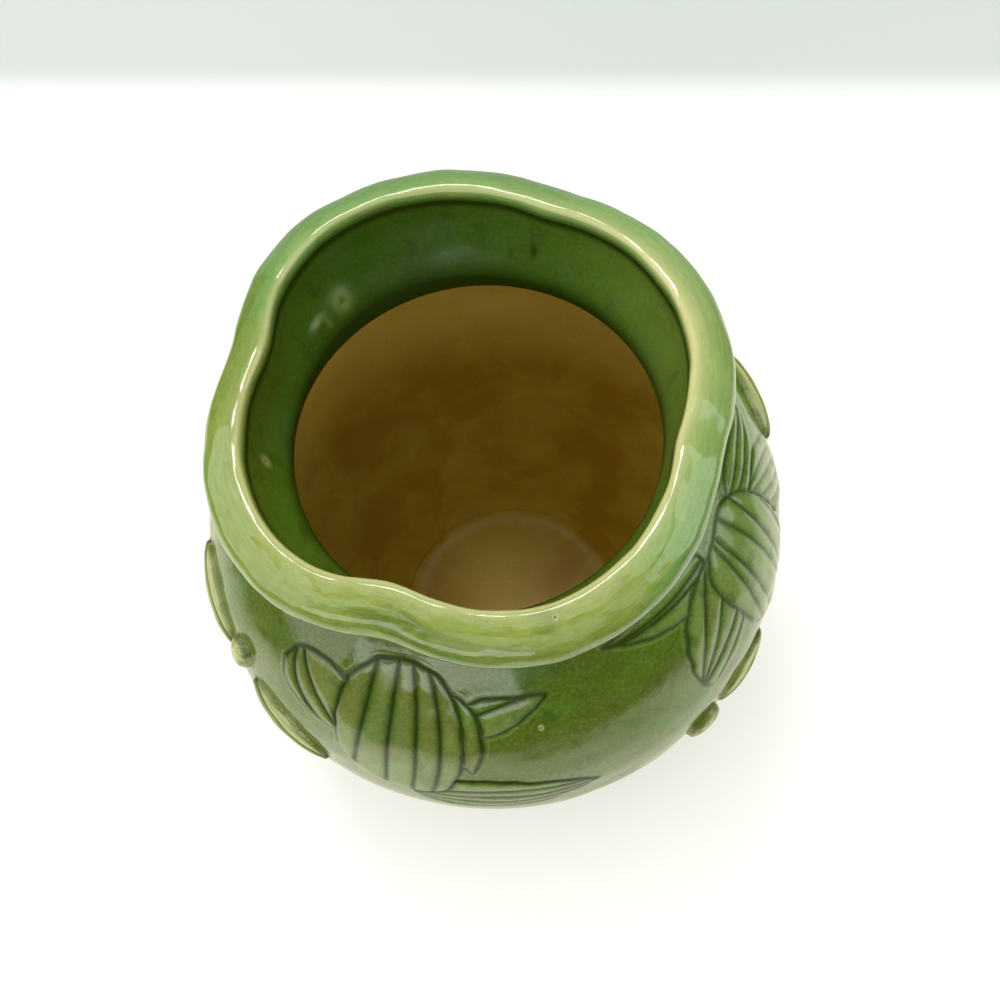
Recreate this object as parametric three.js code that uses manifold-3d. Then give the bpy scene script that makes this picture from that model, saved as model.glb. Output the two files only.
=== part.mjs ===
// A green glazed earthenware vase: round belly, narrow throat, lobed rolled lip,
// sprays of thin scored leaves on the shoulder and a ring of raised buds and leaves on the belly.
// Millimetres, +Z up, origin at the centre of the resting face under the foot.
// Azimuths are degrees from the front (-Y), growing towards +X.
import * as THREE from 'three';
import Module from 'manifold-3d';
import { mergeVertices } from 'three/addons/utils/BufferGeometryUtils.js';

const wasm = await Module();
wasm.setup();

// Driving dimensions of the thrown body
const BELLY_RADIUS = 70;
const BELLY_HEIGHT = 75;
const SHOULDER_RISE = 62; // half height of the ellipse that the shoulder and belly follow
const WALL = 5;
const SHOULDER_WALL = 4; // the wall thins a little where it closes in to the throat
const TAPER_TOP = 45; // below this height the wall runs down to the foot almost straight
const SHOULDER_TOP = 121;
const FOOT_RADIUS = 37;
const FOOT_HEIGHT = 4.5;
const FOOT_WIDTH = 7;
const FLOOR_TOP = 8.2;
const FLOOR_RADIUS = 31.6;
const HEEL_TOP = 30;
const SLIP = 0.3; // joint filled with slip between two clay pieces

// Driving dimensions of the neck and lip
const THROAT_RADIUS = 39.7;
const THROAT_SHIFT = { x: 0.3, y: -1.1 }; // the hand-cut throat sits a little forward
const NECK_TOP = 130;
const LIP_TOP = 144.4;
const LIP_RADIUS = 47.4; // mean radius of the lip's crest
const LIP_ROLL = 6.5;
const LIP_RISE = 1.2; // the crest climbs this much where the lip is pinched in
const PINCH_SHARPNESS = 0.67;
// The lip's four pinches and four lobes, each with its azimuth and crest radius
const LIP_WAVES = [
  { azimuth: -28, radius: 45.5, pinch: true },
  { azimuth: 11, radius: 51.4, pinch: false },
  { azimuth: 60, radius: 45.3, pinch: true },
  { azimuth: 112, radius: 47.9, pinch: false },
  { azimuth: 144, radius: 45.2, pinch: true },
  { azimuth: 201, radius: 50.7, pinch: false },
  { azimuth: 245, radius: 42.8, pinch: true },
  { azimuth: 305.6, radius: 49.4, pinch: false },
];

const SEGMENTS = 64;
const LIP_SEGMENTS = 96;
const LEAF_ROWS = 8;
const RAD = Math.PI / 180;

// Clay and glaze colours
const GLAZES = {
  leaf_green: { color: 0x6f8f3c, roughness: 0.16, metalness: 0 },
  body_green: { color: 0x56762a, roughness: 0.14, metalness: 0 },
  lip_green: { color: 0x8fa45a, roughness: 0.14, metalness: 0 },
  amber: { color: 0x7a5a1e, roughness: 0.25, metalness: 0 },
  bare_clay: { color: 0xb08a5c, roughness: 0.85, metalness: 0 },
};
const glaze = (name) => new THREE.MeshStandardMaterial(GLAZES[name]);

// Outer radius of the body at a height
function ellipseRadius(radius, halfHeight, z) {
  const x = (z - BELLY_HEIGHT) / halfHeight;
  return radius * Math.sqrt(1 - x * x);
}
const taperRadius = ellipseRadius(BELLY_RADIUS, SHOULDER_RISE, TAPER_TOP);
function outerRadius(z) {
  if (z >= TAPER_TOP) return ellipseRadius(BELLY_RADIUS, SHOULDER_RISE, z);
  const t = (TAPER_TOP - z) / (TAPER_TOP - FOOT_HEIGHT);
  const slope = (BELLY_RADIUS / SHOULDER_RISE) ** 2 * ((BELLY_HEIGHT - TAPER_TOP) / taperRadius);
  const straight = taperRadius - slope * (TAPER_TOP - FOOT_HEIGHT) * t;
  const startOfFoot = taperRadius - slope * (TAPER_TOP - FOOT_HEIGHT);
  return straight + (FOOT_RADIUS - startOfFoot) * t * t;
}
const innerRadius = (z) => ellipseRadius(BELLY_RADIUS - WALL, SHOULDER_RISE - SHOULDER_WALL, z);

// Round pieces: a closed outline of radius and height, turned about Z
function turned(outline, segments = SEGMENTS) {
  const points = [...outline, outline[0]].map(([r, z]) => new THREE.Vector2(r, z));
  return new THREE.LatheGeometry(points, segments).rotateX(Math.PI / 2);
}
function heights(from, to, count) {
  return Array.from({ length: count + 1 }, (_, i) => from + ((to - from) * i) / count);
}

// The foot: a coil of clay trimmed flat where the vase rests
function footRing() {
  const inner = FOOT_RADIUS - FOOT_WIDTH;
  return turned([
    [inner + 0.9, 0],
    [FOOT_RADIUS - 0.4, 0],
    [FOOT_RADIUS + 0.6, 1.2],
    [FOOT_RADIUS + 0.2, FOOT_HEIGHT],
    [inner, FOOT_HEIGHT],
    [inner, 0.9],
  ]);
}

// The base: a slab of clay that closes the bottom inside the wall
function baseSlab() {
  const underside = FOOT_HEIGHT + SLIP;
  const points = [
    [0, underside],
    [FLOOR_RADIUS, underside],
    [FLOOR_RADIUS, FLOOR_TOP],
    [0, FLOOR_TOP - 0.6],
  ].map(([r, z]) => new THREE.Vector2(r, z));
  return new THREE.LatheGeometry(points, SEGMENTS).rotateX(Math.PI / 2);
}

// The heel: the curved turn of clay between the base slab and the bowl
const HEEL_WALL = 6.6; // the wall is thicker at the top of the heel
function bowlHeel() {
  const bottom = FOOT_HEIGHT + SLIP;
  const seam = HEEL_TOP - SLIP / 2;
  const outside = heights(bottom, seam, 4).map((z) => [outerRadius(z), z]);
  return turned([
    ...outside,
    [outerRadius(HEEL_TOP) - HEEL_WALL, seam],
    [outerRadius(19) - HEEL_WALL - 0.6, 19],
    [FLOOR_RADIUS + 2.6, 11.4],
    [FLOOR_RADIUS + SLIP, FLOOR_TOP],
    [FLOOR_RADIUS + SLIP, bottom],
  ]);
}

// The lower half of the body, from the heel up to the widest line
function lowerBowl() {
  const bottom = HEEL_TOP + SLIP / 2;
  const seam = BELLY_HEIGHT - SLIP / 2;
  const outside = heights(bottom, seam, 5).map((z) => [outerRadius(z), z]);
  const inside = heights(seam, TAPER_TOP, 3).map((z) => [innerRadius(z), z]);
  return turned([...outside, ...inside, [outerRadius(HEEL_TOP) - HEEL_WALL, bottom]]);
}

// The upper half of the body, from the widest line to the shoulder's top
function upperBowl() {
  const seam = BELLY_HEIGHT + SLIP / 2;
  const outside = heights(seam, SHOULDER_TOP, 7).map((z) => [outerRadius(z), z]);
  const inside = heights(SHOULDER_TOP, seam, 6).map((z) => [innerRadius(z), z]);
  return turned([...outside, ...inside]);
}

// How far the lip stands in or out from its mean radius at an azimuth, and how far it climbs
function lipWave(azimuth) {
  const turnedAz = (((azimuth - LIP_WAVES[0].azimuth) % 360) + 360) % 360;
  const steps = LIP_WAVES.map((w) => w.azimuth - LIP_WAVES[0].azimuth).concat(360);
  const k = steps.findIndex((start, i) => turnedAz >= start && turnedAz <= steps[i + 1]);
  const a = LIP_WAVES[k];
  const b = LIP_WAVES[(k + 1) % LIP_WAVES.length];
  const part = (turnedAz - steps[k]) / (steps[k + 1] - steps[k]);
  const fromPinch = a.pinch ? part : 1 - part;
  const swell = (1 - Math.cos(Math.PI * fromPinch ** PINCH_SHARPNESS)) / 2;
  const [pinch, lobe] = a.pinch ? [a, b] : [b, a];
  return {
    radial: pinch.radius + (lobe.radius - pinch.radius) * swell - LIP_RADIUS,
    rise: LIP_RISE * (1 - swell),
  };
}

// A lobed ring: each outline point has a radius, a height, how much of the lip's wave it takes
// and how much of the throat's shift
function lobedRing(outline) {
  const closed = [...outline, outline[0]];
  const geometry = turned(outline, LIP_SEGMENTS);
  const position = geometry.getAttribute('position');
  for (let i = 0; i < position.count; i++) {
    const [radius, height, wave, shift = 0] = closed[i % closed.length];
    const x = position.getX(i);
    const y = position.getY(i);
    const direction = Math.hypot(x, y);
    const lip = lipWave(Math.atan2(x, -y) / RAD);
    const r = radius + lip.radial * wave;
    const z = height + lip.rise * wave ** 3;
    const px = (x / direction) * r + THROAT_SHIFT.x * shift;
    const py = (y / direction) * r + THROAT_SHIFT.y * shift;
    position.setXYZ(i, px, py, z);
  }
  return geometry;
}

// The neck: a strip of clay set on the shoulder, waisted outside and funnelled inside
function neckCollar() {
  const bottom = SHOULDER_TOP + SLIP;
  return lobedRing([
    [outerRadius(SHOULDER_TOP) - SLIP, bottom, 0],
    [45.4, 124, 0.1],
    [45.2, 127, 0.3],
    [46.4, NECK_TOP, 0.7],
    [42, NECK_TOP, 0.6, 0.2],
    [40.4, 126, 0.25, 0.7],
    [THROAT_RADIUS, 123.2, 0.05, 1],
    [THROAT_RADIUS - 0.1, bottom, 0, 1],
  ]);
}

// The lip: a coil rolled outwards over the neck and pressed in at four places
function rolledLip() {
  const bottom = NECK_TOP + SLIP;
  return lobedRing([
    [46.5, bottom, 0.7],
    [LIP_RADIUS + 2.3, 132.3, 0.95],
    [LIP_RADIUS + 5.3, 134.8, 1],
    [LIP_RADIUS + LIP_ROLL, 138.4, 1],
    [LIP_RADIUS + 5.4, 141.6, 1],
    [LIP_RADIUS + 3, 143.7, 1],
    [LIP_RADIUS + 0.2, LIP_TOP, 1],
    [LIP_RADIUS - 1.8, 143.5, 1],
    [LIP_RADIUS - 2.6, 141.4, 1],
    [LIP_RADIUS - 2.9, 137, 1],
    [LIP_RADIUS - 3.5, 133.8, 0.85, 0.1],
    [42.1, bottom, 0.6, 0.2],
  ]);
}

// Distance along the wall from the foot up to each height, for laying leaves on the curve
const MERIDIAN_STEP = 0.5;
const meridian = [{ z: FOOT_HEIGHT, along: 0 }];
while (meridian.at(-1).z < SHOULDER_TOP) {
  const last = meridian.at(-1);
  const z = last.z + MERIDIAN_STEP;
  const along = last.along + Math.hypot(MERIDIAN_STEP, outerRadius(z) - outerRadius(last.z));
  meridian.push({ z, along });
}
function alongAt(z) {
  const k = (z - FOOT_HEIGHT) / MERIDIAN_STEP;
  const i = Math.min(Math.floor(k), meridian.length - 2);
  return meridian[i].along + (meridian[i + 1].along - meridian[i].along) * (k - i);
}
function heightAt(along) {
  const found = meridian.findIndex((m) => m.along > along);
  const i = found < 0 ? meridian.length - 2 : Math.max(found - 1, 0);
  const [low, high] = [meridian[i], meridian[i + 1]];
  return low.z + ((along - low.along) / (high.along - low.along)) * MERIDIAN_STEP;
}

// A point that stands a distance off the wall, square to it
function offWall(azimuth, z, off) {
  const lean = (outerRadius(z + 0.1) - outerRadius(z - 0.1)) / 0.2;
  const square = 1 / Math.hypot(1, lean);
  const r = outerRadius(z) + off * square;
  const up = z - off * lean * square;
  return [r * Math.sin(azimuth * RAD), -r * Math.cos(azimuth * RAD), up];
}

// A leaf or bud lies along a line from its base to its tip, both given as azimuth and height.
// Its half width swells and closes by the two blunt powers, one for each end.
function leafPlace(leaf, t, across, grow = 0) {
  const [baseAz, baseZ] = leaf.base;
  const [tipAz, tipZ] = leaf.tip;
  const midAz = (baseAz + tipAz) / 2;
  const base = [(baseAz - midAz) * RAD * outerRadius(baseZ), alongAt(baseZ)];
  const tip = [(tipAz - midAz) * RAD * outerRadius(tipZ), alongAt(tipZ)];
  const length = Math.hypot(tip[0] - base[0], tip[1] - base[1]);
  const axis = [(tip[0] - base[0]) / length, (tip[1] - base[1]) / length];
  const [a, b] = leaf.blunt;
  const widest = a / (a + b);
  const swell = (t / widest) ** a * ((1 - t) / (1 - widest)) ** b;
  const sideways = (leaf.bow ?? 0) * 4 * t * (1 - t) + across * ((leaf.width / 2) * swell + grow);
  const forward = t * length + grow * (2 * t - 1);
  const x = base[0] + axis[0] * forward - axis[1] * sideways;
  const y = base[1] + axis[1] * forward + axis[0] * sideways;
  const z = heightAt(y);
  return [midAz + x / outerRadius(z) / RAD, z];
}

// A closed patch on the wall between two surfaces, both given as distances off the wall
function patch(leaf, columns, under, over, grow = 0) {
  const vertices = [];
  const numberOf = new Map();
  const vertex = (row, column, top) => {
    const atEnd = row === 0 || row === LEAF_ROWS;
    const key = [row, atEnd ? 0 : column, top].join();
    if (!numberOf.has(key)) {
      const t = (1 - Math.cos((Math.PI * row) / LEAF_ROWS)) / 2;
      const across = atEnd ? 0 : (2 * column) / columns - 1;
      const [azimuth, z] = leafPlace(leaf, t, across, grow);
      numberOf.set(key, vertices.length / 3);
      vertices.push(...offWall(azimuth, z, top ? over(t, across, column) : under));
    }
    return numberOf.get(key);
  };
  const triangles = [];
  const triangle = (a, b, c) => {
    if (a !== b && b !== c && c !== a) triangles.push(a, b, c);
  };
  const quad = (a, b, c, d) => {
    triangle(a, b, c);
    triangle(a, c, d);
  };
  for (let i = 0; i < LEAF_ROWS; i++) {
    for (let j = 0; j < columns; j++) {
      quad(vertex(i, j, 1), vertex(i + 1, j, 1), vertex(i + 1, j + 1, 1), vertex(i, j + 1, 1));
      quad(vertex(i, j, 0), vertex(i, j + 1, 0), vertex(i + 1, j + 1, 0), vertex(i + 1, j, 0));
    }
    quad(vertex(i, 0, 0), vertex(i + 1, 0, 0), vertex(i + 1, 0, 1), vertex(i, 0, 1));
    quad(vertex(i + 1, columns, 0), vertex(i, columns, 0), vertex(i, columns, 1), vertex(i + 1, columns, 1));
  }
  const geometry = new THREE.BufferGeometry();
  geometry.setAttribute('position', new THREE.Float32BufferAttribute(vertices, 3));
  geometry.setIndex(triangles);
  return geometry;
}

// Geometry to a solid that can be cut, and back
function toSolid(geometry) {
  const merged = mergeVertices(geometry, 1e-4);
  return new wasm.Manifold(
    new wasm.Mesh({
      numProp: 3,
      vertProperties: new Float32Array(merged.getAttribute('position').array),
      triVerts: new Uint32Array(merged.index.array),
    }),
  );
}
function toGeometry(solid) {
  const mesh = solid.getMesh();
  const geometry = new THREE.BufferGeometry();
  geometry.setAttribute('position', new THREE.Float32BufferAttribute(mesh.vertProperties, 3));
  geometry.setIndex([...mesh.triVerts]);
  return geometry;
}

// A scored leaf: pads between grooves that run from base to tip
const THIN_LEAF = 0.9;
const GROOVE_DEPTH = 0.3;
const LEAF_EDGE = 0.6; // share of the leaf's thickness at its edge
function leafGeometry(leaf) {
  const thick = leaf.thick ?? THIN_LEAF;
  const columns = 2 * (leaf.ribs + 1);
  const over = (t, across, column) => {
    const crown = LEAF_EDGE + (1 - LEAF_EDGE) * Math.sqrt(Math.max(0, 1 - across * across));
    const ends = 0.5 + 0.5 * Math.min(1, 6 * t, 6 * (1 - t));
    return SLIP + thick * crown * ends - (column % 2 ? 0 : GROOVE_DEPTH * ends);
  };
  return patch(leaf, columns, SLIP, over);
}

// A bud: a small domed pinch of clay
const BUD_COLUMNS = 6;
const BUD_EDGE = 0.3; // share of the bud's height at its edge
function budGeometry(bud) {
  const over = (t, across) => {
    const round = Math.max(0, 1 - across * across) * Math.max(0, 4 * t * (1 - t));
    return SLIP + bud.thick * (BUD_EDGE + (1 - BUD_EDGE) * Math.sqrt(round));
  };
  return patch(bud, BUD_COLUMNS, SLIP, over);
}

// The spray over the front: one broad leaf, a narrow one that shows under its right edge, a smaller
// one on each side and one on the belly
const FRONT_SPRAY = [
  { name: 'main_leaf', base: [-27, 118.3], tip: [-28.2, 83.3], width: 28.6, blunt: [0.42, 0.3], ribs: 4 },
  { name: 'side_leaf', base: [-16.5, 113.4], tip: [-13.5, 94.3], width: 8.5, blunt: [0.55, 0.8], ribs: 0 },
  { name: 'left_leaf', base: [-40.7, 97.3], tip: [-51.3, 112.2], width: 18, blunt: [0.9, 0.65], ribs: 2 },
  { name: 'right_leaf', base: [-13.6, 108.1], tip: [2.9, 112.2], width: 9.4, blunt: [0.25, 0.9], ribs: 1 },
  { name: 'belly_leaf', base: [-26, 84], tip: [9, 81], width: 17, blunt: [0.5, 0.75], ribs: 4 },
];
// The spray to its right: five leaves that open out from under the lip
const RIGHT_SPRAY = [
  { name: 'main_leaf', base: [54.4, 114.3], tip: [63.5, 78.8], width: 26.6, blunt: [0.26, 0.24], ribs: 5 },
  { name: 'short_leaf', base: [50.5, 113.1], tip: [35.3, 87.7], width: 20.5, blunt: [0.67, 0.8], ribs: 4 },
  { name: 'upper_leaf', base: [47.8, 112.7], tip: [17.5, 115.5], width: 9.8, blunt: [0.25, 0.9], ribs: 2 },
  { name: 'narrow_leaf', base: [64, 112.7], tip: [90, 108.4], width: 9, blunt: [0.4, 0.6], ribs: 2 },
  { name: 'outer_leaf', base: [68, 107.5], tip: [87.5, 85], width: 17, blunt: [0.5, 0.5], ribs: 4 },
];
// Raised ornaments on the belly: a bud between two thick leaves
const HIGH_BUD = [
  { name: 'bud_leaf_a', base: [-70, 90.5], tip: [-91, 96.8], width: 12, blunt: [0.5, 0.5], ribs: 2, thick: 2.3 },
  { name: 'bud_leaf_b', base: [-62.5, 89], tip: [-44, 77], width: 12, blunt: [0.5, 0.5], ribs: 2, thick: 2.4 },
  { name: 'bud', base: [-67, 98.6], tip: [-66, 89.4], width: 6.4, blunt: [0.5, 0.5], bud: true, thick: 2.8 },
];
const LOW_BUD = [
  { name: 'bud_leaf_a', base: [30.5, 58.5], tip: [23, 39.5], width: 11, blunt: [0.5, 0.5], ribs: 2, thick: 2.3 },
  { name: 'bud_leaf_b', base: [38.5, 66.5], tip: [54.5, 71], width: 12.5, blunt: [0.5, 0.5], ribs: 2, thick: 2.2 },
  { name: 'bud', base: [37, 69], tip: [29.5, 65], width: 8, blunt: [0.5, 0.5], bud: true, thick: 2.8 },
];
// This leaf droops the other way from its twin across the vase
const DROOPING_LEAF = { base: [109.5, 97.5], tip: [89, 90], thick: 3.2 };

// The sprays and bud groups, each a set of pieces turned about Z to its place.
// The back of the vase repeats the front, half a turn round.
const SPRAYS = [
  { prefix: 'front_spray', pieces: FRONT_SPRAY, turn: 0 },
  { prefix: 'right_spray', pieces: RIGHT_SPRAY, turn: 0 },
  { prefix: 'back_spray', pieces: FRONT_SPRAY, turn: 180 },
  { prefix: 'left_spray', pieces: RIGHT_SPRAY, turn: 166 },
];
const BUD_GROUPS = [
  { prefix: 'left', pieces: HIGH_BUD, turn: 0, changed: {} },
  { prefix: 'front', pieces: LOW_BUD, turn: 0, changed: {} },
  { prefix: 'right', pieces: HIGH_BUD, turn: 180, changed: { bud_leaf_a: DROOPING_LEAF } },
  { prefix: 'back', pieces: LOW_BUD, turn: 180, changed: {} },
];
function turnedLeaf(leaf, prefix, turn) {
  const [baseAz, baseZ] = leaf.base;
  const [tipAz, tipZ] = leaf.tip;
  const name = prefix + '_' + leaf.name;
  return { ...leaf, name, base: [baseAz + turn, baseZ], tip: [tipAz + turn, tipZ] };
}

const vase = new THREE.Group();
function add(name, geometry, glazeName) {
  const mesh = new THREE.Mesh(geometry, glaze(glazeName));
  mesh.name = name;
  vase.add(mesh);
}

add('foot_ring', footRing(), 'bare_clay');
add('base_slab', baseSlab(), 'amber');
add('bowl_heel', bowlHeel(), 'body_green');
add('lower_bowl', lowerBowl(), 'body_green');
add('upper_bowl', upperBowl(), 'body_green');
add('neck_collar', neckCollar(), 'body_green');
add('rolled_lip', rolledLip(), 'lip_green');

// What is left of a leaf that other leaves lie over
const CUTTER_INSIDE = -2;
const CUTTER_OUTSIDE = 8;
function coveredLeaf(leaf, covers) {
  let solid = toSolid(leafGeometry(leaf));
  for (const cover of covers) {
    const outline = patch(cover, 4, CUTTER_INSIDE, () => CUTTER_OUTSIDE, SLIP);
    solid = solid.subtract(toSolid(outline));
  }
  const largestFirst = solid.decompose().sort((a, b) => b.volume() - a.volume());
  return toGeometry(largestFirst[0]);
}

// Buds lie over the raised leaves beside them
const raised = [];
for (const { prefix, pieces, turn, changed } of BUD_GROUPS) {
  const group = pieces.map((piece) => ({
    ...turnedLeaf(piece, prefix, turn),
    ...changed[piece.name],
  }));
  const buds = group.filter((piece) => piece.bud);
  for (const piece of group) {
    add(piece.name, piece.bud ? budGeometry(piece) : coveredLeaf(piece, buds), 'leaf_green');
  }
  raised.push(...group);
}

// In a spray each leaf lies over the ones named after it, and raised pieces lie over them all
for (const { prefix, pieces, turn } of SPRAYS) {
  const laid = [];
  for (const piece of pieces) {
    const leaf = turnedLeaf(piece, prefix, turn);
    add(leaf.name, coveredLeaf(leaf, [...laid, ...raised]), 'leaf_green');
    laid.push(leaf);
  }
}

export default vase;
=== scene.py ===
# A green glazed vase: round belly, narrow throat, lobed rolled lip, scored leaves and raised buds.
# The frame is in metres, +Z up, front towards -Y. Shapes are worked out in millimetres.
# Azimuths are degrees from the front, growing towards +X.
import math

import bpy
import numpy as np
from mathutils import Matrix, Vector


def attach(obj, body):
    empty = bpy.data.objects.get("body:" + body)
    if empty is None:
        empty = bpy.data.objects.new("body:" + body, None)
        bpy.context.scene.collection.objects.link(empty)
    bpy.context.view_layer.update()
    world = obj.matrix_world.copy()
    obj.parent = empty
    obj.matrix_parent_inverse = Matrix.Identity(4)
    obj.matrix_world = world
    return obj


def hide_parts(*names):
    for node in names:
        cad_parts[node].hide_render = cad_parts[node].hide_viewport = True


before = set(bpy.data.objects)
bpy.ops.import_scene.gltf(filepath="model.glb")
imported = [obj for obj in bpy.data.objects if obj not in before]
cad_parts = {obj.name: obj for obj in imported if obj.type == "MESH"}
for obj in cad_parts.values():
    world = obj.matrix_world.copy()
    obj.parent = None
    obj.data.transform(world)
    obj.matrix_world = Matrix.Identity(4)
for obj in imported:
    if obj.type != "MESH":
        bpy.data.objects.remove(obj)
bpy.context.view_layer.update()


# The foot ring: a coil of buff clay luted under the base and trimmed flat. It was wiped clean before
# the glaze firing so that it wouldn't stick to the kiln shelf, and only a few runs of glaze reach it.
COLUMNS = 600
around = np.radians(np.arange(COLUMNS) * 360.0 / COLUMNS)

# Radius and height of the ring's outline, from its outer top edge down, under and up again inside
foot_outline = [
    (37.0, 4.7), (37.5, 3.2), (37.6, 1.6), (37.2, 0.6), (36.6, 0.12), (36.0, 0.0),
    (33.5, 0.0), (31.4, 0.0), (30.7, 0.25), (30.1, 0.9), (30.0, 2.6), (30.0, 4.7),
]


def smooth_path(points, steps):
    """A curve through the points, with the same number of steps between each pair of them."""
    p = np.array(points, float)
    p = np.vstack([2 * p[0] - p[1], p, 2 * p[-1] - p[-2]])
    gaps = np.linalg.norm(np.diff(p[:, :2], axis=0), axis=1) ** 0.5
    rows = []
    for i in range(1, len(p) - 2):
        g0, g1, g2 = gaps[i - 1], gaps[i], gaps[i + 1]
        start = (p[i] - p[i - 1]) / g0 - (p[i + 1] - p[i - 1]) / (g0 + g1) + (p[i + 1] - p[i]) / g1
        end = (p[i + 1] - p[i]) / g1 - (p[i + 2] - p[i]) / (g1 + g2) + (p[i + 2] - p[i + 1]) / g2
        for s in np.arange(steps) / steps:
            h = (2 * s**3 - 3 * s**2 + 1, s**3 - 2 * s**2 + s, 3 * s**2 - 2 * s**3, s**3 - s**2)
            rows.append(h[0] * p[i] + h[1] * g1 * start + h[2] * p[i + 1] + h[3] * g1 * end)
    rows.append(p[-2])
    return np.array(rows)


def turned_sheet(outline):
    """Rows of points round the vase, one row for each radius and height of the outline."""
    outline = np.asarray(outline, float)
    radius = outline[:, :1] * np.ones(COLUMNS)
    height = outline[:, 1:2] * np.ones(COLUMNS)
    return np.stack([radius * np.sin(around), -radius * np.cos(around), height], -1)


def sheet_normals(sheet):
    """Normals of a sheet that closes round the vase; they point right of the way that the rows run."""
    along = np.gradient(sheet, axis=0)
    across = np.roll(sheet, -1, axis=1) - np.roll(sheet, 1, axis=1)
    normal = np.cross(across, along)
    return normal / np.maximum(np.linalg.norm(normal, axis=-1, keepdims=True), 1e-9)


def hand_wobble(points, size, seed):
    """Smooth unevenness of about -1 to 1 that changes over the given size in millimetres."""
    rng = np.random.default_rng(seed)
    total = np.zeros(points.shape[:-1])
    for _ in range(14):
        direction = rng.normal(size=3)
        direction /= np.linalg.norm(direction)
        wave = 2 * math.pi / (size * rng.uniform(0.75, 1.8))
        total += np.sin(points @ direction * wave + rng.uniform(0, 2 * math.pi))
    return total / 3.8


def add_object(name, data):
    """Puts a mesh, a lamp or the camera into the scene."""
    made = bpy.data.objects.new(name, data)
    bpy.context.scene.collection.objects.link(made)
    return made


def clay_mesh(name, points, faces, masks, materials):
    """A smooth mesh from points in millimetres, with a value of each mask at every point."""
    mesh = bpy.data.meshes.new(name)
    mesh.from_pydata((points * 0.001).tolist(), [], faces.tolist())
    for mask, values in masks.items():
        attribute = mesh.attributes.new(mask, "FLOAT", "POINT")
        attribute.data.foreach_set("value", values.astype(np.float32))
    for material in materials:
        mesh.materials.append(material)
    mesh.shade_smooth()
    return mesh


def skin_mesh(name, sheets, materials):
    """One mesh from sheets of points. A sheet has its points, its normals, which rows are kept, its
    material and its masks; the rows that aren't kept only shape the normals at the edge."""
    verts, faces, normals, finishes = [], [], [], []
    # Masks: dark pooled glaze together with painted shade, pale thin glaze together with painted light, and
    # the place across the lip
    masks = {"pooled_glaze_and_shade": [], "thin_glaze_and_light": [], "across_lip": []}
    for sheet in sheets:
        first, last = sheet.get("keep", (0, len(sheet["points"]) - 1))
        points = sheet["points"][first:last + 1]
        rows, columns = points.shape[:2]
        start = sum(len(v) for v in verts)
        number = start + np.arange(rows * columns).reshape(rows, columns)
        right = np.roll(number, -1, axis=1)
        quads = np.stack([number[:-1], right[:-1], right[1:], number[1:]], -1).reshape(-1, 4)
        given = sheet["normals"][first:last + 1].reshape(-1, 3)
        corner = points.reshape(-1, 3)[quads - start]
        facing = np.cross(corner[:, 2] - corner[:, 0], corner[:, 3] - corner[:, 1])
        if (facing * given[quads[:, 0] - start]).sum() < 0:
            quads = quads[:, ::-1]
        verts.append(points.reshape(-1, 3))
        faces.append(quads)
        normals.append(given)
        finishes.append(np.full(len(quads), sheet.get("material", 0)))
        for mask in masks:
            value = sheet.get(mask, 0.0) * np.ones(sheet["points"].shape[:2])
            masks[mask].append(value[first:last + 1].reshape(-1))
    mesh = clay_mesh(name, np.concatenate(verts), np.concatenate(faces),
                     {mask: np.concatenate(values) for mask, values in masks.items()}, materials)
    mesh.polygons.foreach_set("material_index", np.concatenate(finishes).astype(np.int32))
    mesh.normals_split_custom_set_from_vertices(np.concatenate(normals).tolist())
    return add_object(name, mesh)


def feed(tree, value, socket):
    """Gives a socket a value, or the output of another node."""
    if isinstance(value, bpy.types.NodeSocket):
        tree.links.new(value, socket)
    else:
        socket.default_value = value


def place(tree, kind, settings=(), **inputs):
    """Adds a node with its settings, and feeds its inputs by name."""
    node = tree.nodes.new(kind)
    for key, value in dict(settings).items():
        setattr(node, key, value)
    for key, value in inputs.items():
        feed(tree, value, node.inputs[key.replace("_", " ")])
    return node


def reckon(tree, operation, first, second):
    """The result of a maths node, from two numbers or outputs."""
    node = tree.nodes.new("ShaderNodeMath")
    node.operation = operation
    feed(tree, first, node.inputs[0])
    feed(tree, second, node.inputs[1])
    return node.outputs[0]


def ease(tree, value, low, high, out_low=0.0, out_high=1.0):
    """A value eased from one range to another, and held at its ends."""
    node = place(tree, "ShaderNodeMapRange", {"interpolation_type": "SMOOTHSTEP"}, Value=value)
    for key, number in (("From Min", low), ("From Max", high), ("To Min", out_low), ("To Max", out_high)):
        feed(tree, number, node.inputs[key])
    return node.outputs[0]


def mix_colours(tree, share, first, second, how="MIX"):
    """The first colour going over to the second one as the share grows from 0 to 1."""
    node = tree.nodes.new("ShaderNodeMix")
    node.data_type = "RGBA"
    node.blend_type = how
    feed(tree, share, node.inputs[0])
    feed(tree, first, node.inputs[6])
    feed(tree, second, node.inputs[7])
    return node.outputs[2]


def stretched(tree, vector, scale):
    """A place scaled along each axis, so that a pattern on it is drawn out or pressed together."""
    return place(tree, "ShaderNodeMapping", Vector=vector, Scale=scale).outputs[0]


def patchy(tree, vector, size, detail=3.0, rough=0.55, warp=0.0):
    """Noise whose patches are about a size in millimetres."""
    return place(tree, "ShaderNodeTexNoise", Vector=vector, Scale=1.0 / size, Detail=detail,
                 Roughness=rough, Distortion=warp).outputs["Fac"]


def mask_value(tree, name):
    """The value of one of the mesh's masks."""
    return place(tree, "ShaderNodeAttribute", {"attribute_name": name}).outputs["Fac"]


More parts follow.
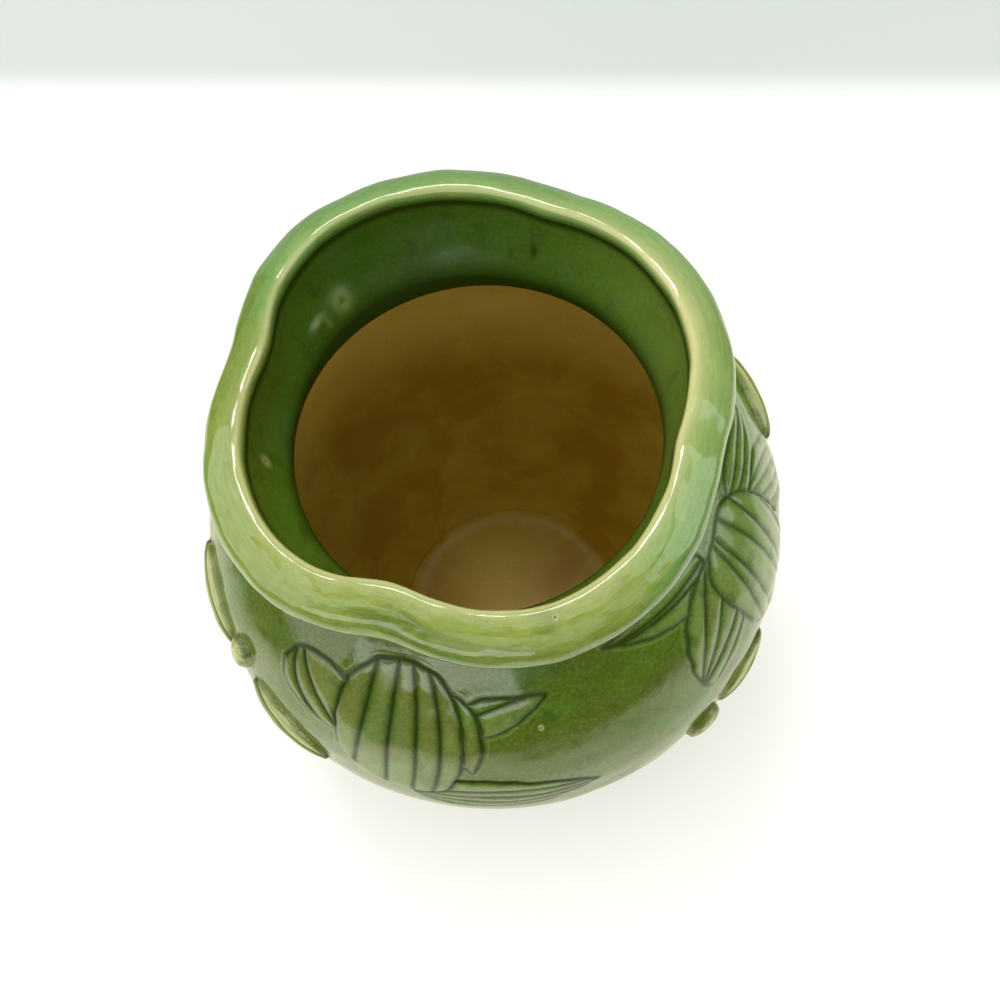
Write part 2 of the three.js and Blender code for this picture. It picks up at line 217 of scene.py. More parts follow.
def start_group(name, inputs, outputs):
    """A shader node group with its named sockets; each input has a kind and a first value."""
    tree = bpy.data.node_groups.new(name, "ShaderNodeTree")
    for socket, kind, value in inputs:
        made = tree.interface.new_socket(socket, in_out="INPUT", socket_type="NodeSocket" + kind)
        if value is not None:
            made.default_value = value
    for socket, kind in outputs:
        tree.interface.new_socket(socket, in_out="OUTPUT", socket_type="NodeSocket" + kind)
    given = tree.nodes.new("NodeGroupInput").outputs
    return tree, given, tree.nodes.new("NodeGroupOutput").inputs


def use_group(tree, group, **inputs):
    """Places a group with its own values, and gives its outputs."""
    node = tree.nodes.new("ShaderNodeGroup")
    node.node_tree = group
    for key, value in inputs.items():
        feed(tree, value, node.inputs[key.replace("_", " ")])
    return node.outputs


def start_material(name):
    """A new material with its Principled shader, and the place on the vase in millimetres."""
    material = bpy.data.materials.new(name)
    material.use_nodes = True
    tree = material.node_tree
    tree.nodes.clear()
    shader = tree.nodes.new("ShaderNodeBsdfPrincipled")
    output = tree.nodes.new("ShaderNodeOutputMaterial")
    tree.links.new(shader.outputs[0], output.inputs["Surface"])
    spot = tree.nodes.new("ShaderNodeTexCoord").outputs["Object"]
    return material, tree, shader, stretched(tree, spot, (1000.0, 1000.0, 1000.0))


def raise_surface(tree, shader, height, strength=1.0):
    """Bump from a height in millimetres."""
    bump = place(tree, "ShaderNodeBump", Strength=strength, Distance=0.001, Height=height)
    tree.links.new(bump.outputs[0], shader.inputs["Normal"])


SANDY_CLAY = (0.62, 0.47, 0.31, 1)
RUN_GREEN = (0.11, 0.15, 0.03, 1)

clay_grain, given, out = start_group(
    "clay_grain",
    [("Place", "Vector", None), ("Clay", "Color", (0.55, 0.36, 0.2, 1)),
     ("Grog", "Color", (0.3, 0.17, 0.09, 1)), ("Grain Size", "Float", 0.5)],
    [("Color", "Color"), ("Height", "Float")])
cloud = patchy(clay_grain, given["Place"], 9.0)
fine = place(clay_grain, "ShaderNodeTexNoise", Vector=given["Place"], Detail=4.0,
             Scale=reckon(clay_grain, "DIVIDE", 1.0, given["Grain Size"])).outputs["Fac"]
specks = ease(clay_grain, fine, 0.60, 0.70)
toned = mix_colours(clay_grain, ease(clay_grain, cloud, 0.3, 0.7, 0.0, 0.5), given["Clay"], SANDY_CLAY)
feed(clay_grain, mix_colours(clay_grain, specks, toned, given["Grog"]), out["Color"])
feed(clay_grain, reckon(clay_grain, "MULTIPLY", fine, 0.12), out["Height"])

bare_clay, tree, shader, spot = start_material("bare_clay")
grain = use_group(tree, clay_grain, Place=spot, Grain_Size=0.6)
height_above = place(tree, "ShaderNodeSeparateXYZ", Vector=spot).outputs["Z"]
run_line = reckon(tree, "ADD", height_above,
                  ease(tree, patchy(tree, stretched(tree, spot, (1, 1, 0.15)), 7.0), 0.3, 0.7, -1.6, 1.6))
glaze_run = ease(tree, run_line, 3.3, 3.8)
feed(tree, mix_colours(tree, glaze_run, grain["Color"], RUN_GREEN), shader.inputs["Base Color"])
feed(tree, ease(tree, glaze_run, 0.0, 1.0, 0.82, 0.14), shader.inputs["Roughness"])
raise_surface(tree, shader, reckon(tree, "ADD", grain["Height"], reckon(tree, "MULTIPLY", glaze_run, 0.25)))

foot_points = turned_sheet(smooth_path(foot_outline, 5))
foot_points[..., 2] = np.maximum(foot_points[..., 2], 0.0)
foot_piece = skin_mesh("foot_ring_clay", [
    {"points": foot_points, "normals": -sheet_normals(foot_points)}], [bare_clay])
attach(foot_piece, "root")
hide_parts("foot_ring")


# The base slab: a disc of clay that closes the bottom. Its underside is bare clay inside the foot ring,
# and its upper side is the floor of the vase, under the same amber glaze as the inside of the wall.
FLOOR_RADIUS, FLOOR_EDGE, FLOOR_HEIGHT = 31.9, 9.3, 7.6
FLOOR_BEND = 26.0
UNDERSIDE_RADIUS, UNDERSIDE_HEIGHT = 30.2, 4.2
# Middle and reach of a soft highlight painted on the floor
SHEEN_PLACE, SHEEN_REACH = (-3.0, 6.0), 14.14
DARK_AMBER, LIGHT_AMBER = (0.46, 0.285, 0.018, 1), (0.58, 0.43, 0.05, 1)
# Colours of the painted light and the painted shade on the amber inside
LIT_OCHRE, SHADE_BROWN = (0.90, 0.71, 0.17, 1), (0.10, 0.085, 0.012, 1)
STAIN_BROWN, CRACK_BROWN = (0.18, 0.10, 0.012, 1), (0.12, 0.06, 0.012, 1)

crackle, given, out = start_group(
    "crackle",
    [("Place", "Vector", None), ("Cell", "Float", 1.6), ("Width", "Float", 0.05),
     ("Cover", "Float", 0.5)],
    [("Lines", "Float")])
bend = place(crackle, "ShaderNodeTexNoise", Vector=given["Place"], Scale=0.9, Detail=2.0)
bent = place(crackle, "ShaderNodeVectorMath", {"operation": "SCALE"}, Vector=bend.outputs["Color"],
             Scale=0.55)
moved = place(crackle, "ShaderNodeVectorMath", {"operation": "ADD"})
feed(crackle, given["Place"], moved.inputs[0])
feed(crackle, bent.outputs[0], moved.inputs[1])
cells = place(crackle, "ShaderNodeTexVoronoi", {"feature": "DISTANCE_TO_EDGE"},
              Vector=moved.outputs[0], Scale=reckon(crackle, "DIVIDE", 1.0, given["Cell"]))
thin_lines = ease(crackle, cells.outputs["Distance"], 0.0, given["Width"], 1.0, 0.0)
showing = ease(crackle, reckon(crackle, "ADD", patchy(crackle, given["Place"], 8.0), given["Cover"]),
               0.85, 1.1)
feed(crackle, reckon(crackle, "MULTIPLY", thin_lines, showing), out["Lines"])

glaze_skin, given, out = start_group(
    "glaze_skin",
    [("Place", "Vector", None), ("Ripple", "Float", 0.05), ("Ripple Size", "Float", 4.0),
     ("Lines", "Float", 0.0), ("Pit", "Float", 0.0)],
    [("Height", "Float")])
broad = place(glaze_skin, "ShaderNodeTexNoise", Vector=given["Place"], Detail=2.0,
              Scale=reckon(glaze_skin, "DIVIDE", 1.0, given["Ripple Size"])).outputs["Fac"]
tight = patchy(glaze_skin, given["Place"], 0.9, 1.0)
waves = reckon(glaze_skin, "ADD", reckon(glaze_skin, "MULTIPLY", broad, given["Ripple"]),
               reckon(glaze_skin, "MULTIPLY", tight, 0.006))
cuts = reckon(glaze_skin, "ADD", reckon(glaze_skin, "MULTIPLY", given["Lines"], -0.006),
              reckon(glaze_skin, "MULTIPLY", given["Pit"], -0.25))
feed(glaze_skin, reckon(glaze_skin, "ADD", waves, cuts), out["Height"])

amber_glaze, tree, shader, spot = start_material("amber_glaze")
clouds = patchy(tree, stretched(tree, spot, (1, 1, 1.6)), 22.0, 3.0, 0.55, 0.4)
amber = mix_colours(tree, ease(tree, clouds, 0.36, 0.66), DARK_AMBER, LIGHT_AMBER)
stain = ease(tree, patchy(tree, stretched(tree, spot, (0.6, 0.6, 1)), 13.0, 4.0, 0.6, 0.8), 0.56, 0.72)
amber = mix_colours(tree, reckon(tree, "MULTIPLY", stain, 0.2), amber, STAIN_BROWN)
# The pale mask paints light high up at the back and a soft highlight on the floor; the pooled mask paints
# shade on the left
pale = mask_value(tree, "thin_glaze_and_light")
amber = mix_colours(tree, pale, amber, LIT_OCHRE)
pooled_and_shade = mask_value(tree, "pooled_glaze_and_shade")
amber = mix_colours(tree, pooled_and_shade, amber, SHADE_BROWN)
lines = use_group(tree, crackle, Place=spot, Cell=1.9, Width=0.045, Cover=0.45)["Lines"]
amber = mix_colours(tree, reckon(tree, "MULTIPLY", lines, 0.25), amber, CRACK_BROWN)
feed(tree, amber, shader.inputs["Base Color"])
feed(tree, ease(tree, clouds, 0.3, 0.7, 0.34, 0.46), shader.inputs["Roughness"])
shader.inputs["IOR"].default_value = 1.5
raise_surface(tree, shader, use_group(tree, glaze_skin, Place=spot, Ripple=0.16, Ripple_Size=7.0,
                                      Lines=lines)["Height"])

floor_radii = np.concatenate([np.linspace(0.02, 29, 60), np.linspace(29.3, FLOOR_RADIUS, 14)])
floor_turn = np.clip((floor_radii - FLOOR_BEND) / (FLOOR_RADIUS - FLOOR_BEND), 0, 1)
floor_rise = FLOOR_EDGE - FLOOR_HEIGHT - 0.2
floor_top = FLOOR_HEIGHT + 0.2 * (floor_radii / FLOOR_RADIUS) ** 2 + floor_rise * floor_turn ** 3
# Faint rings that the maker's fingertip left
floor_top += 0.01 * np.cos(floor_radii * 1.15) * (1 - floor_turn)
floor_points = turned_sheet(np.stack([floor_radii, floor_top], -1))
floor_points[..., 2] += 0.1 * hand_wobble(floor_points, 16.0, 21) * (1 - floor_turn[:, None])
# A soft highlight painted on the floor through its pale mask
from_sheen = np.linalg.norm(floor_points[..., :2] - SHEEN_PLACE, axis=-1)
painted_sheen = 0.8 * np.exp(-(from_sheen / SHEEN_REACH) ** 2)
under_radii = np.linspace(UNDERSIDE_RADIUS, 0.02, 40)
under_points = turned_sheet(np.stack([under_radii, np.full(40, UNDERSIDE_HEIGHT)], -1))
under_points[..., 2] += 0.1 * hand_wobble(under_points, 9.0, 22)
slab_piece = skin_mesh("base_slab_clay", [
    {"points": floor_points, "normals": sheet_normals(floor_points), "thin_glaze_and_light": painted_sheen},
    {"points": under_points, "normals": -sheet_normals(under_points), "material": 1},
], [amber_glaze, bare_clay])
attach(slab_piece, "root")
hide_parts("base_slab")


# The heel and the two bowls: a thick turn of clay on the base, and the lower and upper halves of the
# body. They are luted and smoothed into one wall, green outside and amber inside.
BELLY_RADIUS, BELLY_HEIGHT, SHOULDER_RISE = 70.0, 75.0, 62.0
WALL, SHOULDER_WALL = 5.0, 4.0
TAPER_TOP, FOOT_TOP, FOOT_RADIUS = 45.0, 4.5, 37.0
HEEL_TOP, SHOULDER_TOP, INSIDE_TURN_TOP = 30.0, 121.0, 46.0
TAPER_RADIUS = BELLY_RADIUS * math.sqrt(1 - ((TAPER_TOP - BELLY_HEIGHT) / SHOULDER_RISE) ** 2)
TAPER_SLOPE = (BELLY_RADIUS / SHOULDER_RISE) ** 2 * (BELLY_HEIGHT - TAPER_TOP) / TAPER_RADIUS
# How far the throat's middle lies off the vase's axis, and the height from which the wall leans to it
THROAT_SHIFT, LEAN_START = np.array([0.3, -1.1]), 97.0
# Where painted light lies high up on the amber inside at the back, and the middle and width of the
# painted shade on its left
LIT_HEIGHTS, LIT_BACK = (52.0, 78.0), (0.0, 45.0)
LEFT_SHADE_PLACE, LEFT_SHADE_WIDTH = -65.0, 40.0
BLUISH_GREEN = (0.055, 0.16, 0.045, 1)


def outer_radius(z):
    """The outside: an ellipse down to the taper, and then nearly straight down to the foot."""
    z = np.asarray(z, float)
    round_part = BELLY_RADIUS * np.sqrt(np.clip(1 - ((z - BELLY_HEIGHT) / SHOULDER_RISE) ** 2, 0, 1))
    t = (TAPER_TOP - z) / (TAPER_TOP - FOOT_TOP)
    foot_start = TAPER_RADIUS - TAPER_SLOPE * (TAPER_TOP - FOOT_TOP)
    taper = TAPER_RADIUS - TAPER_SLOPE * (TAPER_TOP - z) + (FOOT_RADIUS - foot_start) * t * t
    return np.where(z >= TAPER_TOP, round_part, taper)


def inner_radius(z):
    """The inside of the bowls above the turn at the heel."""
    z = np.asarray(z, float)
    rise = SHOULDER_RISE - SHOULDER_WALL
    return (BELLY_RADIUS - WALL) * np.sqrt(np.clip(1 - ((z - BELLY_HEIGHT) / rise) ** 2, 0, 1))


def wall_wobble(points):
    """How far the hand-formed outside stands in or out at a point, in millimetres."""
    return 0.22 * hand_wobble(points, 24.0, 5) + 0.06 * hand_wobble(points, 7.0, 6)


def inner_wobble(points):
    """The same for the inside. It dies out at the floor and at the throat, where other sheets join."""
    from_ends = np.minimum(points[..., 2] - FLOOR_EDGE, SHOULDER_TOP - points[..., 2])
    return 0.3 * hand_wobble(points, 18.0, 8) * np.clip(from_ends / 8.0, 0, 1)


def wall_sheet(outline, wobble, outward=1.0):
    """A turned sheet pushed in and out along its normals."""
    points = turned_sheet(outline)
    normals = sheet_normals(points) * outward
    points = points + normals * wobble(points)[..., None]
    return points, sheet_normals(points) * outward


def height_steps(low, high, gap):
    """Heights from low to high, about a gap apart."""
    return np.linspace(low, high, max(2, round((high - low) / gap)) + 1)


pinhole, given, out = start_group(
    "pinhole",
    [("Place", "Vector", None), ("Centre", "Vector", None), ("Pit Size", "Float", 0.55),
     ("Halo Size", "Float", 1.6)],
    [("Pit", "Float"), ("Halo", "Float")])
apart = place(pinhole, "ShaderNodeVectorMath", {"operation": "DISTANCE"})
# The glaze slipped down a little as each bubble burst, so a pinhole is taller than it is wide
feed(pinhole, stretched(pinhole, given["Place"], (1, 1, 0.55)), apart.inputs[0])
feed(pinhole, stretched(pinhole, given["Centre"], (1, 1, 0.55)), apart.inputs[1])
feed(pinhole, ease(pinhole, apart.outputs["Value"], 0.0, given["Pit Size"], 1.0, 0.0), out["Pit"])
feed(pinhole, ease(pinhole, apart.outputs["Value"], 0.3, given["Halo Size"], 1.0, 0.0), out["Halo"])

green_melt, given, out = start_group(
    "green_melt",
    [("Place", "Vector", None), ("Glaze", "Color", (0.072, 0.154, 0.008, 1)),
     ("Mottle", "Color", (0.078, 0.120, 0.004, 1)), ("Deep", "Color", (0.018, 0.04, 0.002, 1)),
     ("Pale", "Color", (0.42, 0.40, 0.15, 1)), ("Patch Size", "Float", 20.0),
     ("Mottle Share", "Float", 0.5), ("Pooled", "Float", 0.0), ("Thin", "Float", 0.0),
     ("Lines", "Float", 0.0)],
    [("Color", "Color")])
here = given["Place"]
drift = place(green_melt, "ShaderNodeTexNoise", Vector=here, Detail=4.0, Roughness=0.6, Distortion=0.6,
              Scale=reckon(green_melt, "DIVIDE", 1.0, given["Patch Size"])).outputs["Fac"]
more_mottle = reckon(green_melt, "SUBTRACT", given["Mottle Share"], 0.5)
mottle = reckon(green_melt, "ADD", drift, reckon(green_melt, "MULTIPLY", more_mottle, 0.5))
mottle = ease(green_melt, mottle, 0.42, 0.62)
melt = mix_colours(green_melt, mottle, given["Glaze"], given["Mottle"])
runs = patchy(green_melt, stretched(green_melt, here, (1, 1, 0.35)), 5.0, 4.0, 0.6, 0.5)
melt = mix_colours(green_melt, ease(green_melt, runs, 0.52, 0.75, 0.0, 0.55), melt, given["Deep"])
bluish = ease(green_melt, patchy(green_melt, here, 14.0, 2.0), 0.55, 0.7, 0.0, 0.3)
melt = mix_colours(green_melt, bluish, melt, BLUISH_GREEN)
speck = patchy(green_melt, here, 0.8, 2.0, 0.7)
melt = mix_colours(green_melt, ease(green_melt, speck, 0.5, 0.72, 0.0, 0.12), melt, given["Pale"])
melt = mix_colours(green_melt, ease(green_melt, speck, 0.32, 0.48, 0.26, 0.0), melt, given["Deep"])
melt = mix_colours(green_melt, reckon(green_melt, "MULTIPLY", given["Lines"], 0.30), melt, given["Deep"])
# Pale for thin glaze and for painted light, dark for pooled glaze and for painted shade
melt = mix_colours(green_melt, given["Thin"], melt, given["Pale"])
feed(green_melt, mix_colours(green_melt, given["Pooled"], melt, given["Deep"]), out["Color"])


# How much shorter the rolled coil's pattern is made along it, so that it comes out drawn out
DRAWN_OUT = 0.22


def green_glaze(name, colours, patch_size, mottle_share, ripple, ripple_size, roughness, holes=(),
                drawn=False):
    """A green glaze: melted colour, crackle, masks from the mesh and a few pinholes. It is more olive
    on the front left, the hotter side in the kiln, and greener at the back right."""
    material, tree, shader, spot = start_material(name)
    side = place(tree, "ShaderNodeSeparateXYZ", Vector=spot).outputs
    olive_share = ease(tree, reckon(tree, "ADD", side["X"], side["Y"]), -60.0, 60.0,
                       mottle_share + 0.25, mottle_share - 0.4)
    # These masks carry pooled and thin glaze, and also painted shade and painted light
    pooled_and_shade = mask_value(tree, "pooled_glaze_and_shade")
    thin_and_light = mask_value(tree, "thin_glaze_and_light")
    lines = use_group(tree, crackle, Place=spot, Cell=1.7, Width=0.05, Cover=0.5)["Lines"]
    melt_place = spot
    if drawn:
        # The coil was rolled by hand, so its colours and ripples are drawn out along it
        across = mask_value(tree, "across_lip")
        along_x = reckon(tree, "MULTIPLY", side["X"], DRAWN_OUT)
        along_y = reckon(tree, "MULTIPLY", side["Y"], DRAWN_OUT)
        melt_place = place(tree, "ShaderNodeCombineXYZ", X=across, Y=along_x, Z=along_y).outputs[0]
    pit = 0.0
    for centre, halo_size in holes:
        hole = use_group(tree, pinhole, Place=spot, Centre=centre, Halo_Size=halo_size)
        pit = reckon(tree, "MAXIMUM", pit, hole["Pit"])
        thin_and_light = reckon(tree, "MAXIMUM", thin_and_light, reckon(tree, "MULTIPLY", hole["Halo"], 0.8))
    melt = use_group(tree, green_melt, Place=melt_place, Patch_Size=patch_size, Mottle_Share=olive_share,
                     Pooled=reckon(tree, "MAXIMUM", pooled_and_shade, pit), Thin=thin_and_light, Lines=lines, **colours)
    feed(tree, melt["Color"], shader.inputs["Base Color"])
    worn = patchy(tree, spot, 6.0)
    feed(tree, ease(tree, worn, 0.35, 0.75, *roughness), shader.inputs["Roughness"])
    shader.inputs["IOR"].default_value = 1.56
    # The pools lie low between ridges and leaves, where little of the room is mirrored
    feed(tree, ease(tree, pooled_and_shade, 0.1, 0.8, 0.5, 0.15), shader.inputs["Specular IOR Level"])
    skin = use_group(tree, glaze_skin, Place=melt_place, Ripple=ripple, Ripple_Size=ripple_size,
                     Lines=lines, Pit=pit)
    raise_surface(tree, shader, skin["Height"])
    return material


# Each pinhole has its place on the glaze and the size of its pale halo
body_glaze = green_glaze("body_glaze", {}, patch_size=20.0, mottle_share=0.5, ripple=0.10, ripple_size=5.0,
                         roughness=(0.09, 0.2), holes=[((0.5, -60.9, 105.5), 0.9)])


def body_piece(name, node, outside, inside, foot_thin=False):
    """A turn of the wall: its green outside and its amber inside, with painted light high up at the back
    and painted shade on the left."""
    outer, outer_normals = wall_sheet(outside, wall_wobble)
    inner, inner_normals = wall_sheet(inside, inner_wobble, -1.0)
    inner[..., :2] += THROAT_SHIFT * np.interp(inner[..., 2:], [LEAN_START, SHOULDER_TOP], [0.0, 1.0])
    # Painted light high up at the back of the inside, and painted shade on its left
    high_back_light = np.interp(inner[..., 2], LIT_HEIGHTS, (0, 1)) * np.interp(inner[..., 1], LIT_BACK, (0, 1))
    left_shade = np.exp(-((inner[..., 0] - LEFT_SHADE_PLACE) / LEFT_SHADE_WIDTH) ** 2)
    sheets = [
        {"points": outer, "normals": outer_normals, "keep": (1, len(outer) - 2)},
        {"points": inner, "normals": inner_normals, "keep": (1, len(inner) - 2), "material": 1,
         "thin_glaze_and_light": 0.95 * high_back_light, "pooled_glaze_and_shade": 0.4 * left_shade * (1 - high_back_light)},
    ]
    if foot_thin:
        sheets[0]["thin_glaze_and_light"] = 0.7 * np.clip(1 - (outer[..., 2] - FOOT_TOP) / 3.0, 0, 1)
        sheets[0]["keep"] = (0, len(outer) - 2)
    piece = skin_mesh(name, sheets, [body_glaze, amber_glaze])
    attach(piece, "root")
    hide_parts(node)


def with_ends(steps):
    """The steps with one more at each end, so that neighbours agree on their normals."""
    gap = steps[1] - steps[0]
    return np.concatenate([[steps[0] - gap], steps, [steps[-1] + gap]])


def inside_outline(low, high, gap):
    """The inside between two heights, with the turn at the heel that a thumb has rounded."""
    steps = with_ends(height_steps(low, high, gap))
    turn = smooth_path([(FLOOR_RADIUS, FLOOR_EDGE), (34.4, 12.2), (38.2, 19.0), (45.4, HEEL_TOP),
                        (51.3, 38.0), (float(inner_radius(45.0)), 45.0), (float(inner_radius(50.0)), 50.0)],
                       12)
    radius = np.where(steps > INSIDE_TURN_TOP, inner_radius(steps),
                      np.interp(steps, turn[:, 1], turn[:, 0]))
    return np.stack([radius, steps], -1)


outside_steps = [with_ends(height_steps(*span, 1.0))
                 for span in ((FOOT_TOP, HEEL_TOP), (HEEL_TOP, BELLY_HEIGHT), (BELLY_HEIGHT, SHOULDER_TOP))]
body_outsides = [np.stack([outer_radius(z), z], -1) for z in outside_steps]
body_piece("bowl_heel_glazed", "bowl_heel", body_outsides[0],
           inside_outline(FLOOR_EDGE, HEEL_TOP, 0.8), foot_thin=True)
body_piece("lower_bowl_glazed", "lower_bowl", body_outsides[1],
           inside_outline(HEEL_TOP, BELLY_HEIGHT, 1.0))
body_piece("upper_bowl_glazed", "upper_bowl", body_outsides[2],
           inside_outline(BELLY_HEIGHT, SHOULDER_TOP, 1.0))


# The neck collar: a strip of clay bent round and set on the shoulder, its ends smeared together inside.
# It is waisted outside and funnels down to the throat inside, where the green glaze stops.
LIP_RADIUS, LIP_RISE, PINCH_SHARPNESS = 47.4, 1.2, 0.67
# The lip's pinches and lobes by turns: azimuth and radius of the crest
LIP_WAVES = [(-28, 45.5), (11, 51.4), (60, 45.3), (112, 47.9), (144, 45.2), (201, 50.7), (245, 42.8),
             (305.6, 49.4)]
azimuths = np.degrees(around)
wave_at = np.zeros(COLUMNS)
rise_at = np.zeros(COLUMNS)
for k, (start_az, start_radius) in enumerate(LIP_WAVES):
    end_az, end_radius = LIP_WAVES[(k + 1) % len(LIP_WAVES)]
    span = (end_az - start_az) % 360
    part = ((azimuths - start_az) % 360) / span
    in_span = part <= 1
    pinch_first = k % 2 == 0
    from_pinch = part if pinch_first else 1 - part
    swell = (1 - np.cos(np.pi * np.clip(from_pinch, 0, 1) ** PINCH_SHARPNESS)) / 2
    pinch, lobe = (start_radius, end_radius) if pinch_first else (end_radius, start_radius)
    wave_at[in_span] = (pinch + (lobe - pinch) * swell - LIP_RADIUS)[in_span]
    rise_at[in_span] = (LIP_RISE * (1 - swell))[in_span]


def turn_between(first, second):
    """How far one azimuth lies round from another, from -180 to 180 degrees."""
    return (second - first + 180) % 360 - 180


def side_share(azimuth, width):
    """1 at an azimuth, falling off to both sides of it."""
    return np.exp(-(turn_between(azimuth, azimuths) / width) ** 2)


# A thumb leaves no sharp notch, so the waves are rounded off over a few degrees
thumb = side_share(0.0, 6.0)
thumb = np.fft.fft(thumb / thumb.sum())
wave_at, rise_at = (np.fft.ifft(np.fft.fft(wave) * thumb).real for wave in (wave_at, rise_at))

# The outline from the shoulder over the lip and down to the inside: radius, height, share of the
# lip's wave, share of the throat's shift
neck_to_throat = [
    (float(outer_radius(117)), 117, 0, 0), (float(outer_radius(119)), 119, 0, 0),
    (float(outer_radius(121)), 121, 0, 0), (45.5, 124, 0.1, 0), (45.2, 127, 0.3, 0),
    (46.5, 130.2, 0.7, 0), (49.7, 132.3, 0.95, 0), (52.8, 134.6, 1, 0), (54.0, 137.9, 1, 0),
    (53.2, 141.0, 1, 0), (50.8, 143.1, 1, 0), (48.0, 144.2, 1, 0), (46.2, 144.5, 1, 0),
    (45.1, 144.0, 1, 0), (44.7, 142.3, 0.98, 0), (44.4, 138.6, 0.9, 0), (43.4, 134.2, 0.7, 0.1),
    (42.2, 130.2, 0.5, 0.3), (40.7, 126, 0.25, 0.7), (39.9, 123.2, 0.1, 1), (39.6, 121, 0, 1),
    (float(inner_radius(119)), 119, 0, 0.95), (float(inner_radius(117)), 117, 0, 0.85),
]
STEPS = 10
# Rows of the outline: where the collar meets the bowl, where the coil begins, the groove inside its
# crest, where the coil ends, and where the collar meets the throat
OUTER_SEAM, LIP_START, LIP_EDGE, LIP_END, INNER_SEAM = 20, 50, 142, 170, 200
# The row where the coil's outside turns up, and the row of its crest
TURN_ROW, CREST_ROW = 98, 126
path = smooth_path(neck_to_throat, STEPS)


def lobed_sheet(path):
    """Rows of points round the mouth, each with its share of the lobes and of the throat's shift."""
    radius = path[:, :1] + path[:, 2:3] * wave_at
    height = path[:, 1:2] + np.clip(path[:, 2:3], 0, 1) ** 3 * rise_at
    x = radius * np.sin(around) + path[:, 3:4] * THROAT_SHIFT[0]
    y = -radius * np.cos(around) + path[:, 3:4] * THROAT_SHIFT[1]
    return np.stack([x, y, height], -1)


neck_points = lobed_sheet(path)
neck_normals = sheet_normals(neck_points)
lip_share = np.clip(path[:, 2], 0, 1)[:, None]
rows = np.arange(len(path))[:, None]
on_outside = np.clip((INNER_SEAM - rows) / (INNER_SEAM - LIP_END), 0, 1)
lip_wobble = 0.16 * hand_wobble(neck_points, 14.0, 11) + 0.05 * hand_wobble(neck_points, 5.0, 12)
push = wall_wobble(neck_points) * on_outside * (1 - lip_share) + lip_wobble * lip_share


NECK_RADIUS = 42.0


def dab_at(azimuth, height, width, tall, amount):
    """A spot on the inside of the neck, such as a dab of clay or a dark run."""
    sideways = np.radians(turn_between(azimuth, azimuths)) * NECK_RADIUS / width
    upwards = (neck_points[..., 2] - height) / tall
    return amount * np.exp(-(sideways ** 2 + upwards ** 2)) * (rows > LIP_END - 2 * STEPS)


# Where the collar's ends were smeared together: a dab with a fingertip's hollow, and two crumbs
neck_dabs = dab_at(211.8, 128.5, 2.6, 2.6, 0.75) - dab_at(211.8, 128.5, 1.0, 1.0, 0.55)
neck_dabs = neck_dabs + dab_at(222.6, 129.2, 2.4, 1.0, 0.6) + dab_at(219.0, 127.2, 0.9, 1.6, 0.4)
run_mark = dab_at(149.4, 132.0, 0.9, 1.8, 0.6)
push = push + neck_dabs
neck_points = neck_points + neck_normals * push[..., None]
neck_normals = sheet_normals(neck_points)
from_crest = (rows - CREST_ROW) / STEPS
ridge = np.exp(-(from_crest / np.where(from_crest < 0, 0.5, 0.8)) ** 2)
slope = np.exp(-np.where(from_crest < 0, np.abs(from_crest / 1.9) ** 3, (from_crest / 0.8) ** 2))
# Glaze pooled in the groove under the crest, with painted shade there too; painted shade falling off down
# the inside below it, and painted shade deepening towards the throat
under_crest = np.exp(-((rows - LIP_EDGE) / (0.4 * STEPS)) ** 2)
below_crest = 0.4 * np.exp(-np.clip((rows - LIP_EDGE) / (1.1 * STEPS), 0, 9)) * (rows > LIP_EDGE)
throat_shade = np.exp(-((rows - INNER_SEAM) / (1.7 * STEPS)) ** 2)

# Painted shade at the back and under the coil, and painted light on the right, but not where the collar
# meets the bowl
from_seam = np.clip((rows - OUTER_SEAM) / 18, 0, 1)
outer_band = np.clip((TURN_ROW - rows) / (2 * STEPS) + 1, 0, 1) * from_seam
inner_band = np.clip((rows - LIP_EDGE) / STEPS, 0, 1)
back_shade = side_share(195.0, 55.0) * (0.5 * inner_band + 0.4 * outer_band)
roll_underside_shade = 0.22 * np.clip((TURN_ROW - rows) / 25, 0, 1) * lip_share
neck_pooled_and_shade = 0.95 * under_crest + below_crest + 0.95 * throat_shade + run_mark + back_shade + roll_underside_shade
neck_pooled_and_shade = np.clip(neck_pooled_and_shade - 0.6 * neck_dabs, 0, 1)
# Pale glaze on the dabs, and painted light on the right of the neck
neck_thin_and_light = np.clip(0.6 * neck_dabs, 0, 0.4) + 0.14 * side_share(95.0, 45.0) * from_seam
# The crest and its slopes show pale where the glaze has run thin; on top of that the coil has painted light
# on its right and painted shade at its back
lip_thin_and_light = 0.42 * ridge + (0.3 + 0.2 * side_share(95.0, 50.0) - 0.2 * side_share(190.0, 60.0)) * slope
lip_thin_and_light = lip_thin_and_light + 0.2 * side_share(85.0, 40.0)
across_lip = np.concatenate([[0], np.cumsum(np.hypot(*np.diff(path[:, :2], axis=0).T))])[:, None]


def neck_part(first, last, material=0):
    """A run of rows of the neck and lip as one sheet, with a row more at each end for its normals."""
    a, b = first - 1, last + 1
    return {"points": neck_points[a:b + 1], "normals": neck_normals[a:b + 1], "keep": (1, b - a - 1),
            "pooled_glaze_and_shade": neck_pooled_and_shade[a:b + 1], "thin_glaze_and_light": neck_thin_and_light[a:b + 1],
            "across_lip": across_lip[a:b + 1], "material": material}


